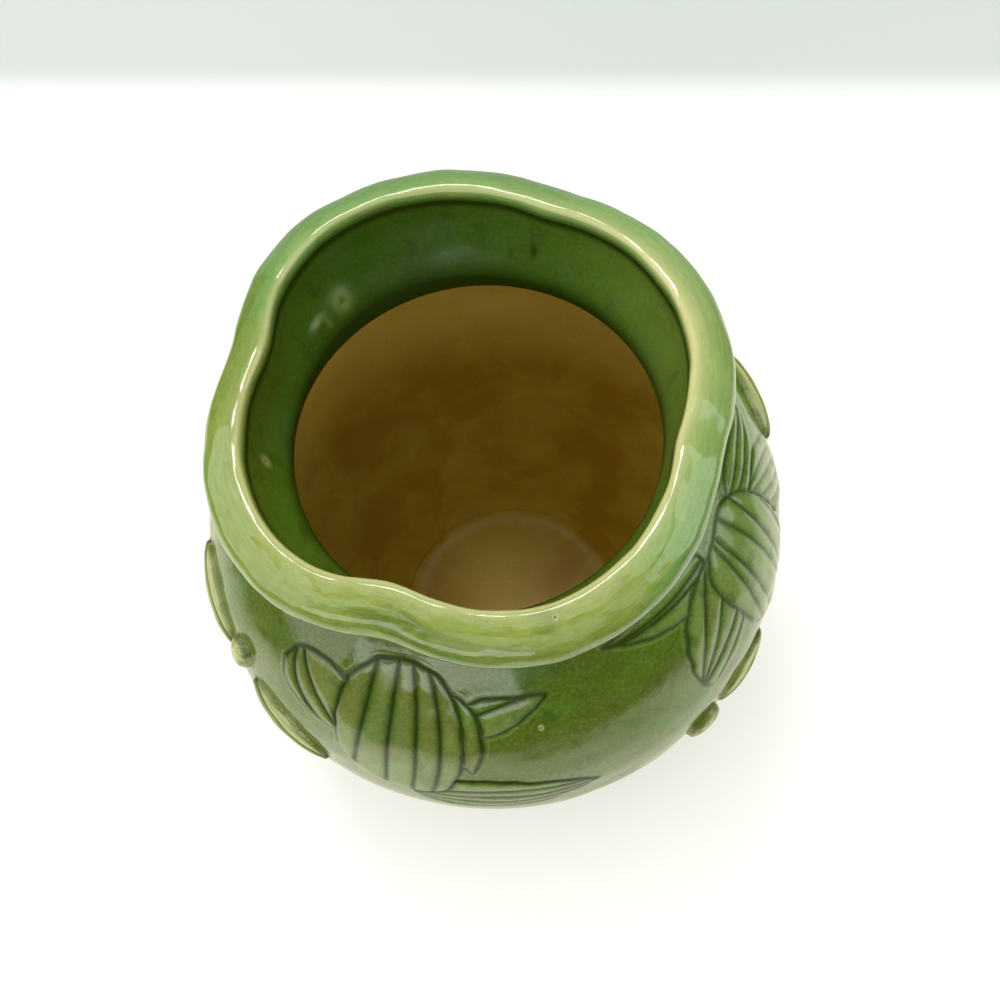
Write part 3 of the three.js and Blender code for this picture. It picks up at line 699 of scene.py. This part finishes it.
neck_glaze = green_glaze(
    "neck_glaze", {"Glaze": (0.062, 0.160, 0.007, 1), "Mottle": (0.064, 0.118, 0.004, 1),
                   "Deep": (0.015, 0.030, 0.001, 1), "Pale": (0.34, 0.36, 0.11, 1)},
    patch_size=16.0, mottle_share=0.2, ripple=0.1, ripple_size=6.0, roughness=(0.28, 0.42),
    holes=[((-42.6, -2.0, 132.7), 1.9)])
neck_piece = skin_mesh("neck_collar_glazed", [
    neck_part(OUTER_SEAM, LIP_START, 1), neck_part(LIP_END, INNER_SEAM)], [neck_glaze, body_glaze])
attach(neck_piece, "root")
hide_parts("neck_collar")


# The rolled lip: a thick coil rolled out over the neck and pressed in with a thumb at four places.
# The glaze has run off its crest, which shows pale, and has gathered dark in the groove inside it, where
# shade is painted too. The coil also has painted light on its right and painted shade at its back.
lip_glaze = green_glaze(
    "lip_glaze", {"Glaze": (0.13, 0.275, 0.055, 1), "Mottle": (0.195, 0.26, 0.04, 1),
                  "Deep": (0.035, 0.08, 0.006, 1), "Pale": (0.50, 0.48, 0.20, 1)},
    patch_size=5.0, mottle_share=0.5, ripple=0.12, ripple_size=3.0, roughness=(0.05, 0.13),
    holes=[((7.0, -51.4, 144.2), 0.8)], drawn=True)
lip_sheet = neck_part(LIP_START, LIP_EDGE)
# The lip's pale mask, with its painted light on the right and painted shade at the back
lip_sheet["thin_glaze_and_light"] = lip_thin_and_light[LIP_START - 1:LIP_EDGE + 2]
lip_piece = skin_mesh("rolled_lip_glazed", [lip_sheet, neck_part(LIP_EDGE, LIP_END, 1)],
                      [lip_glaze, neck_glaze])
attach(lip_piece, "root")
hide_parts("rolled_lip")


# The sprays: thin leaves cut from rolled clay, pressed on the shoulder and scored with a pointed tool.
# The glaze has pooled dark in every scored line and round every leaf.
LEAF_GRID = 0.3
LEAF_MARGIN = 2.6
WALL_STEP = 0.25
FAR_AWAY = 99.0
wall_heights = np.arange(FOOT_TOP, 127.01, WALL_STEP)
wall_lengths = np.concatenate([[0], np.cumsum(np.hypot(WALL_STEP, np.diff(outer_radius(wall_heights))))])


def off_wall(azimuth, z, off):
    """A point that stands a distance off the uneven wall, square to it."""
    lean = (outer_radius(z + 0.1) - outer_radius(z - 0.1)) / 0.2
    square = 1 / np.hypot(1, lean)
    a = np.radians(azimuth)
    base = np.stack([outer_radius(z) * np.sin(a), -outer_radius(z) * np.cos(a), z], -1)
    normal = np.stack([np.sin(a) * square, -np.cos(a) * square, -lean * square], -1)
    return base + normal * (off + wall_wobble(base))[..., None]


def leaf_frame(leaf):
    """The leaf's middle azimuth, base point, direction and length on the wall laid flat."""
    (base_az, base_z), (tip_az, tip_z) = leaf["base"], leaf["tip"]
    middle = (base_az + tip_az) / 2
    base = np.array([math.radians(base_az - middle) * outer_radius(base_z),
                     np.interp(base_z, wall_heights, wall_lengths)])
    tip = np.array([math.radians(tip_az - middle) * outer_radius(tip_z),
                    np.interp(tip_z, wall_heights, wall_lengths)])
    length = float(np.linalg.norm(tip - base))
    return middle, base, (tip - base) / length, length


def to_wall(leaf, forward, sideways):
    """Azimuth and height of a point given along and across a leaf."""
    middle, base, axis, _ = leaf_frame(leaf)
    x = base[0] + axis[0] * forward - axis[1] * sideways
    y = base[1] + axis[1] * forward + axis[0] * sideways
    z = np.interp(y, wall_lengths, wall_heights)
    return middle + np.degrees(x / outer_radius(z)), z


def to_leaf(leaf, azimuth, z):
    """How far a point on the wall lies along and across a leaf."""
    middle, base, axis, _ = leaf_frame(leaf)
    x = np.radians(turn_between(middle, azimuth)) * outer_radius(z) - base[0]
    y = np.interp(z, wall_heights, wall_lengths) - base[1]
    return x * axis[0] + y * axis[1], y * axis[0] - x * axis[1]


def half_width(leaf, t):
    """Half a leaf's width at a share of its length. It is blunter where its numbers are smaller."""
    a, b = leaf["blunt"]
    widest = a / (a + b)
    t = np.clip(t, 0, 1)
    return leaf["width"] / 2 * (t / widest) ** a * ((1 - t) / (1 - widest)) ** b


def line_distance(points, line):
    """Distance of each point to a line through the given points."""
    start, step = line[:-1], np.diff(line, axis=0)
    away = points[:, None] - start[None]
    share = np.clip((away * step).sum(-1) / np.maximum((step * step).sum(-1), 1e-9), 0, 1)
    return np.linalg.norm(away - share[..., None] * step, axis=-1).min(1)


def outline_distance(leaf, of_leaf, forward, sideways):
    """Distance to the outline of one leaf from points given on another; less than 0 inside it."""
    t = (1 - np.cos(np.pi * np.arange(61) / 60)) / 2
    length = leaf_frame(leaf)[3]
    ahead = np.concatenate([t, t[::-1]]) * length
    aside = np.concatenate([half_width(leaf, t), -half_width(leaf, t[::-1])])
    az, z = to_wall(leaf, ahead, aside)
    edge = np.stack(to_leaf(of_leaf, az, z), -1)
    distance = line_distance(np.stack([forward, sideways], -1), edge)
    az, z = to_wall(of_leaf, forward, sideways)
    f, s = to_leaf(leaf, az, z)
    inside = (f > 0) & (f < length) & (np.abs(s) < half_width(leaf, f / length))
    return np.where(inside, -distance, distance)


def step_up(x, low, high):
    """0 below the low end and 1 above the high end, eased between them."""
    t = np.clip((x - low) / (high - low), 0, 1)
    return t * t * (3 - 2 * t)


def leaf_grid(leaf, others, covers):
    """Points over a leaf and its margin: along, across, own distance, least distance to another
    leaf's outline, and how deep each point lies under a leaf that covers this one."""
    length = leaf_frame(leaf)[3]
    f = np.arange(-LEAF_MARGIN, length + LEAF_MARGIN, LEAF_GRID)
    s = np.arange(-leaf["width"] / 2 - LEAF_MARGIN, leaf["width"] / 2 + LEAF_MARGIN, LEAF_GRID)
    forward, sideways = (g.reshape(-1) for g in np.meshgrid(f, s, indexing="ij"))
    shake = np.stack([forward, sideways, 0 * forward], -1)
    seed = sum(ord(c) for c in leaf["name"])
    jog_f = forward + 0.22 * hand_wobble(shake, 5.0, seed)
    jog_s = sideways + 0.22 * hand_wobble(shake, 5.0, seed + 1)
    own = outline_distance(leaf, leaf, jog_f, jog_s)
    near = [outline_distance(o, leaf, jog_f, jog_s) for o in others]
    cover = [outline_distance(o, leaf, jog_f, jog_s) for o in covers]
    return (len(f), len(s)), forward, sideways, own, near, cover


def least(distances, count):
    """The least of several distances at each point, or far away where there are none."""
    return np.min(distances, axis=0) if distances else np.full(count, FAR_AWAY)


def rib_distance(leaf, forward, sideways):
    """Distance to the nearest scored rib. A rib bends from a first place across the leaf through a
    second one halfway to a third, and shows only where the leaf is wide enough."""
    length = leaf_frame(leaf)[3]
    points = np.stack([forward, sideways], -1)
    nearest = np.full(len(forward), FAR_AWAY)
    t = np.linspace(0.0, 1.0, 80)
    for start, middle, end in leaf["ribs"]:
        bend = 2 * start + 2 * end - 4 * middle
        aside = leaf["width"] / 2 * (start + t * (end - start - bend) + t * t * bend)
        on = np.abs(aside) < half_width(leaf, t) + 0.5
        nearest = np.minimum(nearest, line_distance(points, np.stack([t * length, aside], -1)[on]))
    return nearest


def clay_patch(name, leaf, shape, forward, sideways, off, keep, pooled_and_shade, thin_and_light, glaze):
    """A patch of mesh on the wall: only the squares with all four corners kept are made."""
    az, z = to_wall(leaf, forward, sideways)
    points = off_wall(az, z, off)
    number = np.arange(len(forward)).reshape(shape)
    quads = np.stack([number[:-1, :-1], number[1:, :-1], number[1:, 1:], number[:-1, 1:]], -1)
    quads = quads.reshape(-1, 4)
    quads = quads[keep[quads].all(axis=1)]
    used = np.unique(quads)
    renumber = np.zeros(len(forward), int)
    renumber[used] = np.arange(len(used))
    masks = {"pooled_glaze_and_shade": np.clip(pooled_and_shade[used], 0, 1), "thin_glaze_and_light": np.clip(thin_and_light[used], 0, 1)}
    piece = add_object(name, clay_mesh(name, points[used], renumber[quads], masks, [glaze]))
    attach(piece, "root")
    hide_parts(leaf["name"])


# How high a leaf stands, and how far a score and the dark glaze in it reach to each side
PAD_HEIGHT, SCORE_WIDTH, INK_WIDTH = 0.5, 0.8, 0.66
BURR, SINK_AT_EDGE, TUCK_UNDER = 0.05, 0.16, 1.1
leaf_glaze = green_glaze(
    "leaf_glaze", {"Glaze": (0.115, 0.21, 0.028, 1), "Mottle": (0.10, 0.138, 0.011, 1),
                   "Deep": (0.013, 0.03, 0.001, 1)},
    patch_size=14.0, mottle_share=0.4, ripple=0.05, ripple_size=4.0, roughness=(0.1, 0.2))


def scored_leaf(leaf, laid, later, raised):
    """A thin leaf. Leaves laid before it and raised pieces cover it, and it covers the later ones."""
    covers = laid + raised
    shape, forward, sideways, own, under, cover = leaf_grid(leaf, later, covers)
    cover_near = least(cover, len(own))
    others = least(under + cover, len(own))
    line = np.minimum(np.abs(own), rib_distance(leaf, forward, sideways) + np.maximum(own, 0) * 3)
    line = np.minimum(line, np.abs(cover_near))
    groove = np.exp(-(line / SCORE_WIDTH) ** 2)
    pad = PAD_HEIGHT * (0.85 + 0.15 * step_up(line, 0.3, 2.4))
    outside = np.minimum(own, np.maximum(others, 0))
    burr = BURR * (1 - step_up(outside, 0.4, 1.8)) - SINK_AT_EDGE * step_up(outside, 1.2, 2.5)
    edge = step_up(own, -0.6, 0.5)
    level = pad * (1 - edge) + burr * edge
    off = level * (1 - 0.42 * groove)
    # The patch dips out of sight under leaves that cover it and where its margin lies on others, and
    # its rim dips into the wall
    hidden = step_up(-cover_near, 0.25, 0.9) * TUCK_UNDER
    hidden = hidden + step_up(-others, 0.1, 0.5) * step_up(own, 0.3, 0.8) * TUCK_UNDER
    hidden = hidden + 0.14 * step_up(own - np.maximum(others, 0), 0.2, 0.9)
    keep = (own < LEAF_MARGIN - 0.1) & (cover_near > -1.4)
    # Painted light: the scores are drawn less dark on the vase's right side, where more light falls
    ink = 0.97 - 0.22 * max(math.sin(math.radians(leaf_frame(leaf)[0])), 0)
    pooled_and_shade = np.exp(-(line / INK_WIDTH) ** 2) * ink
    thin_and_light = 0.1 * step_up(line, 0.8, 2.0) * (own < 0)
    clay_patch(leaf["name"] + "_clay", leaf, shape, forward, sideways, off - hidden, keep,
               pooled_and_shade, thin_and_light, leaf_glaze)


# A leaf's base and tip are given as azimuth and height. Each rib has its places across the leaf at the
# base, halfway and at the tip, as shares of half the leaf's width
FRONT_SPRAY = [
    {"name": "main_leaf", "base": (-27, 118.3), "tip": (-28.2, 83.3), "width": 28.6, "blunt": (0.42, 0.3),
     "ribs": ((-0.38, -0.55, -0.78), (-0.08, -0.12, -0.2), (0.12, 0.3, 0.22), (0.32, 0.66, 0.52))},
    {"name": "side_leaf", "base": (-16.5, 113.4), "tip": (-13.5, 94.3), "width": 8.5, "blunt": (0.55, 0.8),
     "ribs": ()},
    {"name": "left_leaf", "base": (-40.7, 97.3), "tip": (-51.3, 112.2), "width": 18, "blunt": (0.9, 0.65),
     "ribs": ((0.1, 0.58, 0.2), (-0.25, 0.05, 0.0))},
    {"name": "right_leaf", "base": (-13.6, 108.1), "tip": (2.9, 112.2), "width": 9.4, "blunt": (0.25, 0.9),
     "ribs": ((0.27, 0.4, 0.3),)},
    {"name": "belly_leaf", "base": (-26, 84), "tip": (9, 81), "width": 17, "blunt": (0.5, 0.75),
     "ribs": ((-0.3, -0.62, -0.3), (-0.12, -0.25, -0.1), (0.05, 0.12, 0.05), (0.2, 0.5, 0.2))},
]
RIGHT_SPRAY = [
    {"name": "main_leaf", "base": (54.4, 114.3), "tip": (63.5, 78.8), "width": 26.6, "blunt": (0.26, 0.24),
     "ribs": ((1.1, 0.9, 0.6), (0.76, 0.41, 0.15), (0.3, 0.13, -0.05), (-0.03, -0.38, -0.6),
              (-0.15, -0.66, -0.95))},
    {"name": "short_leaf", "base": (50.5, 113.1), "tip": (35.3, 87.7), "width": 20.5, "blunt": (0.67, 0.8),
     "ribs": ((-0.2, -0.52, -0.35), (0.35, -0.09, -0.42), (1.35, 0.45, -0.45), (1.8, 0.9, 0.0))},
    {"name": "upper_leaf", "base": (47.8, 112.7), "tip": (17.5, 115.5), "width": 9.8, "blunt": (0.25, 0.9),
     "ribs": ((0.0, 0.06, 0.2), (-0.45, -0.17, 0.1))},
    {"name": "narrow_leaf", "base": (64, 112.7), "tip": (90, 108.4), "width": 9, "blunt": (0.4, 0.6),
     "ribs": ((-0.16, -0.33, -0.16), (0.16, 0.33, 0.16))},
    {"name": "outer_leaf", "base": (68, 107.5), "tip": (87.5, 85), "width": 17, "blunt": (0.5, 0.5),
     "ribs": ((-0.3, -0.6, -0.3), (-0.1, -0.2, -0.1), (0.1, 0.2, 0.1), (0.3, 0.6, 0.3))},
]
TWO_SCORES = ((-0.2, -0.36, -0.2), (0.2, 0.36, 0.2))
HIGH_BUD = [
    {"name": "bud_leaf_a", "base": (-70, 90.5), "tip": (-91, 96.8), "width": 12, "blunt": (0.5, 0.5),
     "ribs": TWO_SCORES, "thick": 2.3},
    {"name": "bud_leaf_b", "base": (-62.5, 89), "tip": (-44, 77), "width": 12, "blunt": (0.5, 0.5),
     "ribs": TWO_SCORES, "thick": 2.4},
    {"name": "bud", "base": (-67, 98.6), "tip": (-66, 89.4), "width": 6.4, "blunt": (0.5, 0.5), "ribs": (),
     "thick": 2.8},
]
LOW_BUD = [
    {"name": "bud_leaf_a", "base": (30.5, 58.5), "tip": (23, 39.5), "width": 11, "blunt": (0.5, 0.5),
     "ribs": TWO_SCORES, "thick": 2.3},
    {"name": "bud_leaf_b", "base": (38.5, 66.5), "tip": (54.5, 71), "width": 12.5, "blunt": (0.5, 0.5),
     "ribs": TWO_SCORES, "thick": 2.2},
    {"name": "bud", "base": (37, 69), "tip": (29.5, 65), "width": 8, "blunt": (0.5, 0.5),
     "ribs": (), "thick": 2.8},
]
# On the right a leaf of the bud droops instead of standing up
DROOPING_LEAF = {"base": (109.5, 97.5), "tip": (89, 90), "thick": 3.2}


def turned_group(prefix, pieces, turn, changed=()):
    """The pieces of a group turned round the vase, with the changes to those that differ."""
    group = []
    for piece in pieces:
        moved = dict(piece, name=prefix + "_" + piece["name"],
                     base=(piece["base"][0] + turn, piece["base"][1]),
                     tip=(piece["tip"][0] + turn, piece["tip"][1]))
        moved.update(dict(changed).get(piece["name"], {}))
        group.append(moved)
    return group


MEETING_TURN = 50


def near_to(leaf, others):
    """Those of the others that lie close enough to meet this leaf."""
    middle = leaf_frame(leaf)[0]
    return [o for o in others if abs(turn_between(middle, leaf_frame(o)[0])) < MEETING_TURN]


bud_groups = [
    turned_group("left", HIGH_BUD, 0),
    turned_group("front", LOW_BUD, 0),
    turned_group("right", HIGH_BUD, 180, {"bud_leaf_a": DROOPING_LEAF}),
    turned_group("back", LOW_BUD, 180),
]
raised_pieces = [piece for group in bud_groups for piece in group]
for prefix, pieces, turn in (("front_spray", FRONT_SPRAY, 0), ("right_spray", RIGHT_SPRAY, 0),
                             ("back_spray", FRONT_SPRAY, 180), ("left_spray", RIGHT_SPRAY, 166)):
    spray = turned_group(prefix, pieces, turn)
    for k, leaf in enumerate(spray):
        scored_leaf(leaf, near_to(leaf, spray[:k]), near_to(leaf, spray[k + 1:]),
                    near_to(leaf, raised_pieces))


# The buds: small domed pinches of clay, each between two thick leaves with two deep scores. They stand
# well proud of the belly, so the glaze has thinned to a pale olive on their ridges.
raised_glaze = green_glaze(
    "raised_glaze", {"Glaze": (0.15, 0.21, 0.03, 1), "Mottle": (0.17, 0.20, 0.03, 1),
                     "Pale": (0.42, 0.44, 0.17, 1)},
    patch_size=9.0, mottle_share=0.5, ripple=0.12, ripple_size=2.5, roughness=(0.14, 0.26))
DEEP_SCORE = 0.7


def raised_piece(piece, buds):
    """A thick leaf or a bud. Buds cover the leaves beside them."""
    shape, forward, sideways, own, _, cover = leaf_grid(piece, [], buds)
    length = leaf_frame(piece)[3]
    t = np.clip(forward / length, 0, 1)
    across = np.clip(np.abs(sideways) / np.maximum(half_width(piece, t), 0.01), 0, 1)
    cover_near = least(cover, len(own))
    inside = np.maximum(-own, 0)
    dome = np.sqrt(np.maximum(1 - across**2, 0)) * np.sqrt(np.maximum(4 * t * (1 - t), 0)) ** 0.8
    spot = np.stack([forward, sideways, 0 * forward], -1)
    if piece["ribs"]:
        line = np.minimum(rib_distance(piece, forward, sideways), np.abs(cover_near))
        groove = np.exp(-(line / DEEP_SCORE) ** 2)
        level = piece["thick"] * dome * (1 - 0.5 * groove) + 0.08 * hand_wobble(spot, 6.0, 32) * dome
    else:
        # A bud has no scores, only the dimples that a fingertip left
        line = np.full(len(own), FAR_AWAY)
        groove = 0.55 * step_up(hand_wobble(spot, 2.4, 31), 0.3, 1.1)
        level = piece["thick"] * dome ** 0.8 * (1 - 0.35 * groove)
    foot = np.exp(-((own - 0.3) / 0.4) ** 2)
    off = np.where(own < 0, level, 0) + 0.12 * np.exp(-(own / 0.7) ** 2)
    off = off - 0.18 * step_up(own, 0.8, 1.8) - 2.2 * step_up(-cover_near, 0.3, 1.2)
    pooled_and_shade = np.maximum(0.95 * groove, 0.6 * foot)
    thin_and_light = 0.8 * step_up(line, 0.5, 1.3) * step_up(inside, 0.3, 1.2)
    keep = (own < 2.0) & (cover_near > -1.6)
    clay_patch(piece["name"] + "_clay", piece, shape, forward, sideways, off, keep, pooled_and_shade, thin_and_light,
               raised_glaze)


for group in bud_groups:
    for piece in group:
        raised_piece(piece, [] if piece is group[-1] else [group[-1]])


# The stage: a white table that rises into a pale grey backdrop, soft lamps and the camera, which looks
# down into the mouth from in front.
CAMERA_PLACE = Vector((0.0, -0.1126, 0.3283))
PITCH, YAW, ROLL = math.radians(65.06), math.radians(1.38), math.radians(11.12)
# The picture is taken to be 1000 pixels wide
SENSOR_WIDTH, PICTURE_WIDTH, FOCAL_PIXELS = 36.0, 1000, 1100
ahead = Vector((math.sin(YAW) * math.cos(PITCH), math.cos(YAW) * math.cos(PITCH), -math.sin(PITCH)))
level_right = ahead.cross(Vector((0, 0, 1))).normalized()
level_down = ahead.cross(level_right)
image_right = math.cos(ROLL) * level_right + math.sin(ROLL) * level_down
image_down = -math.sin(ROLL) * level_right + math.cos(ROLL) * level_down
camera_data = bpy.data.cameras.new("camera")
camera_data.sensor_width = SENSOR_WIDTH
camera_data.sensor_fit = "HORIZONTAL"
camera_data.lens = SENSOR_WIDTH * FOCAL_PIXELS / PICTURE_WIDTH
camera_data.clip_start = 0.01
camera = add_object("camera", camera_data)
camera.matrix_world = Matrix.Translation(CAMERA_PLACE) @ Matrix(
    (image_right, -image_down, -ahead)).transposed().to_4x4()
bpy.context.scene.camera = camera


def on_table(px, py):
    """Where the ray through a pixel of the picture meets the table."""
    middle = PICTURE_WIDTH / 2
    ray = ahead + (image_right * (px - middle) + image_down * (py - middle)) / FOCAL_PIXELS
    return CAMERA_PLACE - ray * (CAMERA_PLACE.z / ray.z)


# The table's far edge is level in the picture, so it is drawn through two points of one picture row
EDGE_ROW = 96
TABLE_DEPTH, TABLE_SIDE, SWEEP_START, SWEEP_RADIUS = 0.62, 1.1, -0.03, 0.09
edge_left, edge_middle, edge_right = (on_table(px, EDGE_ROW) for px in (0, 500, 999))
edge_way = (edge_right - edge_left).normalized()
edge_back = Vector((-edge_way.y, edge_way.x, 0))
# How far each row of the table and the backdrop lies behind the edge, and how high
table_rows = [(-TABLE_DEPTH, 0.0)] + [(back, 0.0) for back in np.linspace(-0.5, SWEEP_START, 8)]
table_rows += [(SWEEP_START + SWEEP_RADIUS * math.sin(a), SWEEP_RADIUS * (1 - math.cos(a)))
               for a in np.linspace(0.1, 1.35, 10)]
table_rows += [(0.09, 0.25), (0.12, 0.5), (0.14, 0.8)]
table_verts, table_faces = [], []
for k, (back, up) in enumerate(table_rows):
    for side in (-TABLE_SIDE, TABLE_SIDE):
        table_verts.append(tuple(edge_middle + edge_way * side + edge_back * back + Vector((0, 0, up))))
    if k:
        table_faces.append((2 * k - 2, 2 * k - 1, 2 * k + 1, 2 * k))
table_mesh = bpy.data.meshes.new("table")
table_mesh.from_pydata(table_verts, [], table_faces)
table_mesh.shade_smooth()
table = add_object("table", table_mesh)

TABLE_TONE, BACKDROP_TONE = (0.94, 0.92, 0.95, 1), (0.25, 0.25, 0.25, 1)
TABLE_GLOW, BACKDROP_GLOW = (0.10, 0.10, 0.03, 1), (0.43, 0.49, 0.43, 1)
FAR_TONE, BOUNCE_TONE = (0.05, 0.05, 0.05, 1), (0.8, 0.8, 0.8, 1)
WARM_REFLECTION = (0.95, 0.95, 0.8, 1)
REFLECTED_MIDDLE = (0.0, 0.1, 0.0)

table_white = bpy.data.materials.new("table_white")
table_white.use_nodes = True
tree = table_white.node_tree
tree.nodes.clear()
lifted = place(tree, "ShaderNodeSeparateXYZ", Vector=tree.nodes.new("ShaderNodeTexCoord").outputs["Object"])
grey_share = ease(tree, lifted.outputs["Z"], 0.0005, 0.0085)
glow_tone = mix_colours(tree, grey_share, TABLE_GLOW, BACKDROP_GLOW)
light_path = tree.nodes.new("ShaderNodeLightPath").outputs
# The vase reflects only the table near it and the backdrop, and the table's far parts look dim in it
from_vase = place(tree, "ShaderNodeVectorMath", {"operation": "DISTANCE"})
flat_place = place(tree, "ShaderNodeCombineXYZ", X=lifted.outputs["X"], Y=lifted.outputs["Y"])
feed(tree, flat_place.outputs[0], from_vase.inputs[0])
feed(tree, REFLECTED_MIDDLE, from_vase.inputs[1])
near_part = ease(tree, from_vase.outputs["Value"], 0.30, 0.38, 1.0, 0.12)
reflected = reckon(tree, "MULTIPLY", light_path["Is Glossy Ray"], near_part)
seen = reckon(tree, "MAXIMUM", light_path["Is Camera Ray"], reflected)
looked_at = reckon(tree, "MAXIMUM", light_path["Is Camera Ray"], light_path["Is Glossy Ray"])
matt_tone = mix_colours(tree, grey_share, TABLE_TONE, BACKDROP_TONE)
matt_tone = mix_colours(tree, seen, FAR_TONE, matt_tone)
matt_tone = mix_colours(tree, looked_at, BOUNCE_TONE, matt_tone)
matt_tone = mix_colours(tree, light_path["Is Glossy Ray"], matt_tone, WARM_REFLECTION, "MULTIPLY")
matt = place(tree, "ShaderNodeBsdfDiffuse", Color=matt_tone)
glow = place(tree, "ShaderNodeEmission", Color=glow_tone, Strength=seen)
both = tree.nodes.new("ShaderNodeAddShader")
feed(tree, matt.outputs[0], both.inputs[0])
feed(tree, glow.outputs[0], both.inputs[1])
# The backdrop stands close behind the vase, so a camera behind it looks through it
from_behind = reckon(tree, "MULTIPLY", light_path["Is Camera Ray"],
                     tree.nodes.new("ShaderNodeNewGeometry").outputs["Backfacing"])
one_sided = tree.nodes.new("ShaderNodeMixShader")
feed(tree, from_behind, one_sided.inputs[0])
feed(tree, both.outputs[0], one_sided.inputs[1])
feed(tree, tree.nodes.new("ShaderNodeBsdfTransparent").outputs[0], one_sided.inputs[2])
feed(tree, one_sided.outputs[0], tree.nodes.new("ShaderNodeOutputMaterial").inputs["Surface"])
table_mesh.materials.append(table_white)


LAMPS_AIM = Vector((0.0, 0.0, 0.09))


def soft_lamp(name, spot, size, watts):
    """A flat lamp that faces the vase."""
    data = bpy.data.lights.new(name, "AREA")
    data.shape = "RECTANGLE"
    data.size, data.size_y = size
    data.energy = watts
    lamp = add_object(name, data)
    lamp.location = spot
    lamp.rotation_euler = (LAMPS_AIM - Vector(spot)).to_track_quat("-Z", "Y").to_euler()


soft_lamp("lamp_front", (0.0, -0.85, 0.85), (1.5, 0.8), 3.7)
soft_lamp("lamp_over", (0.0, 0.25, 1.1), (1.2, 1.2), 5.6)
soft_lamp("lamp_left", (-1.1, 0.0, 0.65), (1.4, 1.4), 10.5)
soft_lamp("lamp_right", (1.1, 0.0, 0.65), (1.4, 1.4), 13.0)
soft_lamp("lamp_above", (-0.05, 0.45, 0.95), (0.32, 0.32), 4.8)
soft_lamp("lamp_low", (-0.64, -1.03, 0.43), (1.3, 0.42), 5.2)
# The camera sees a white room behind the table, which lights the vase only a little
world = bpy.data.worlds.new("studio")
world.use_nodes = True
tree = world.node_tree
background = tree.nodes["Background"].inputs
looked_at = tree.nodes.new("ShaderNodeLightPath").outputs["Is Camera Ray"]
feed(tree, (0.95, 0.98, 1.0, 1), background["Color"])
feed(tree, ease(tree, looked_at, 0.0, 1.0, 0.1, 1.0), background["Strength"])
bpy.context.scene.world = world
bpy.context.scene.view_settings.view_transform = "Standard"
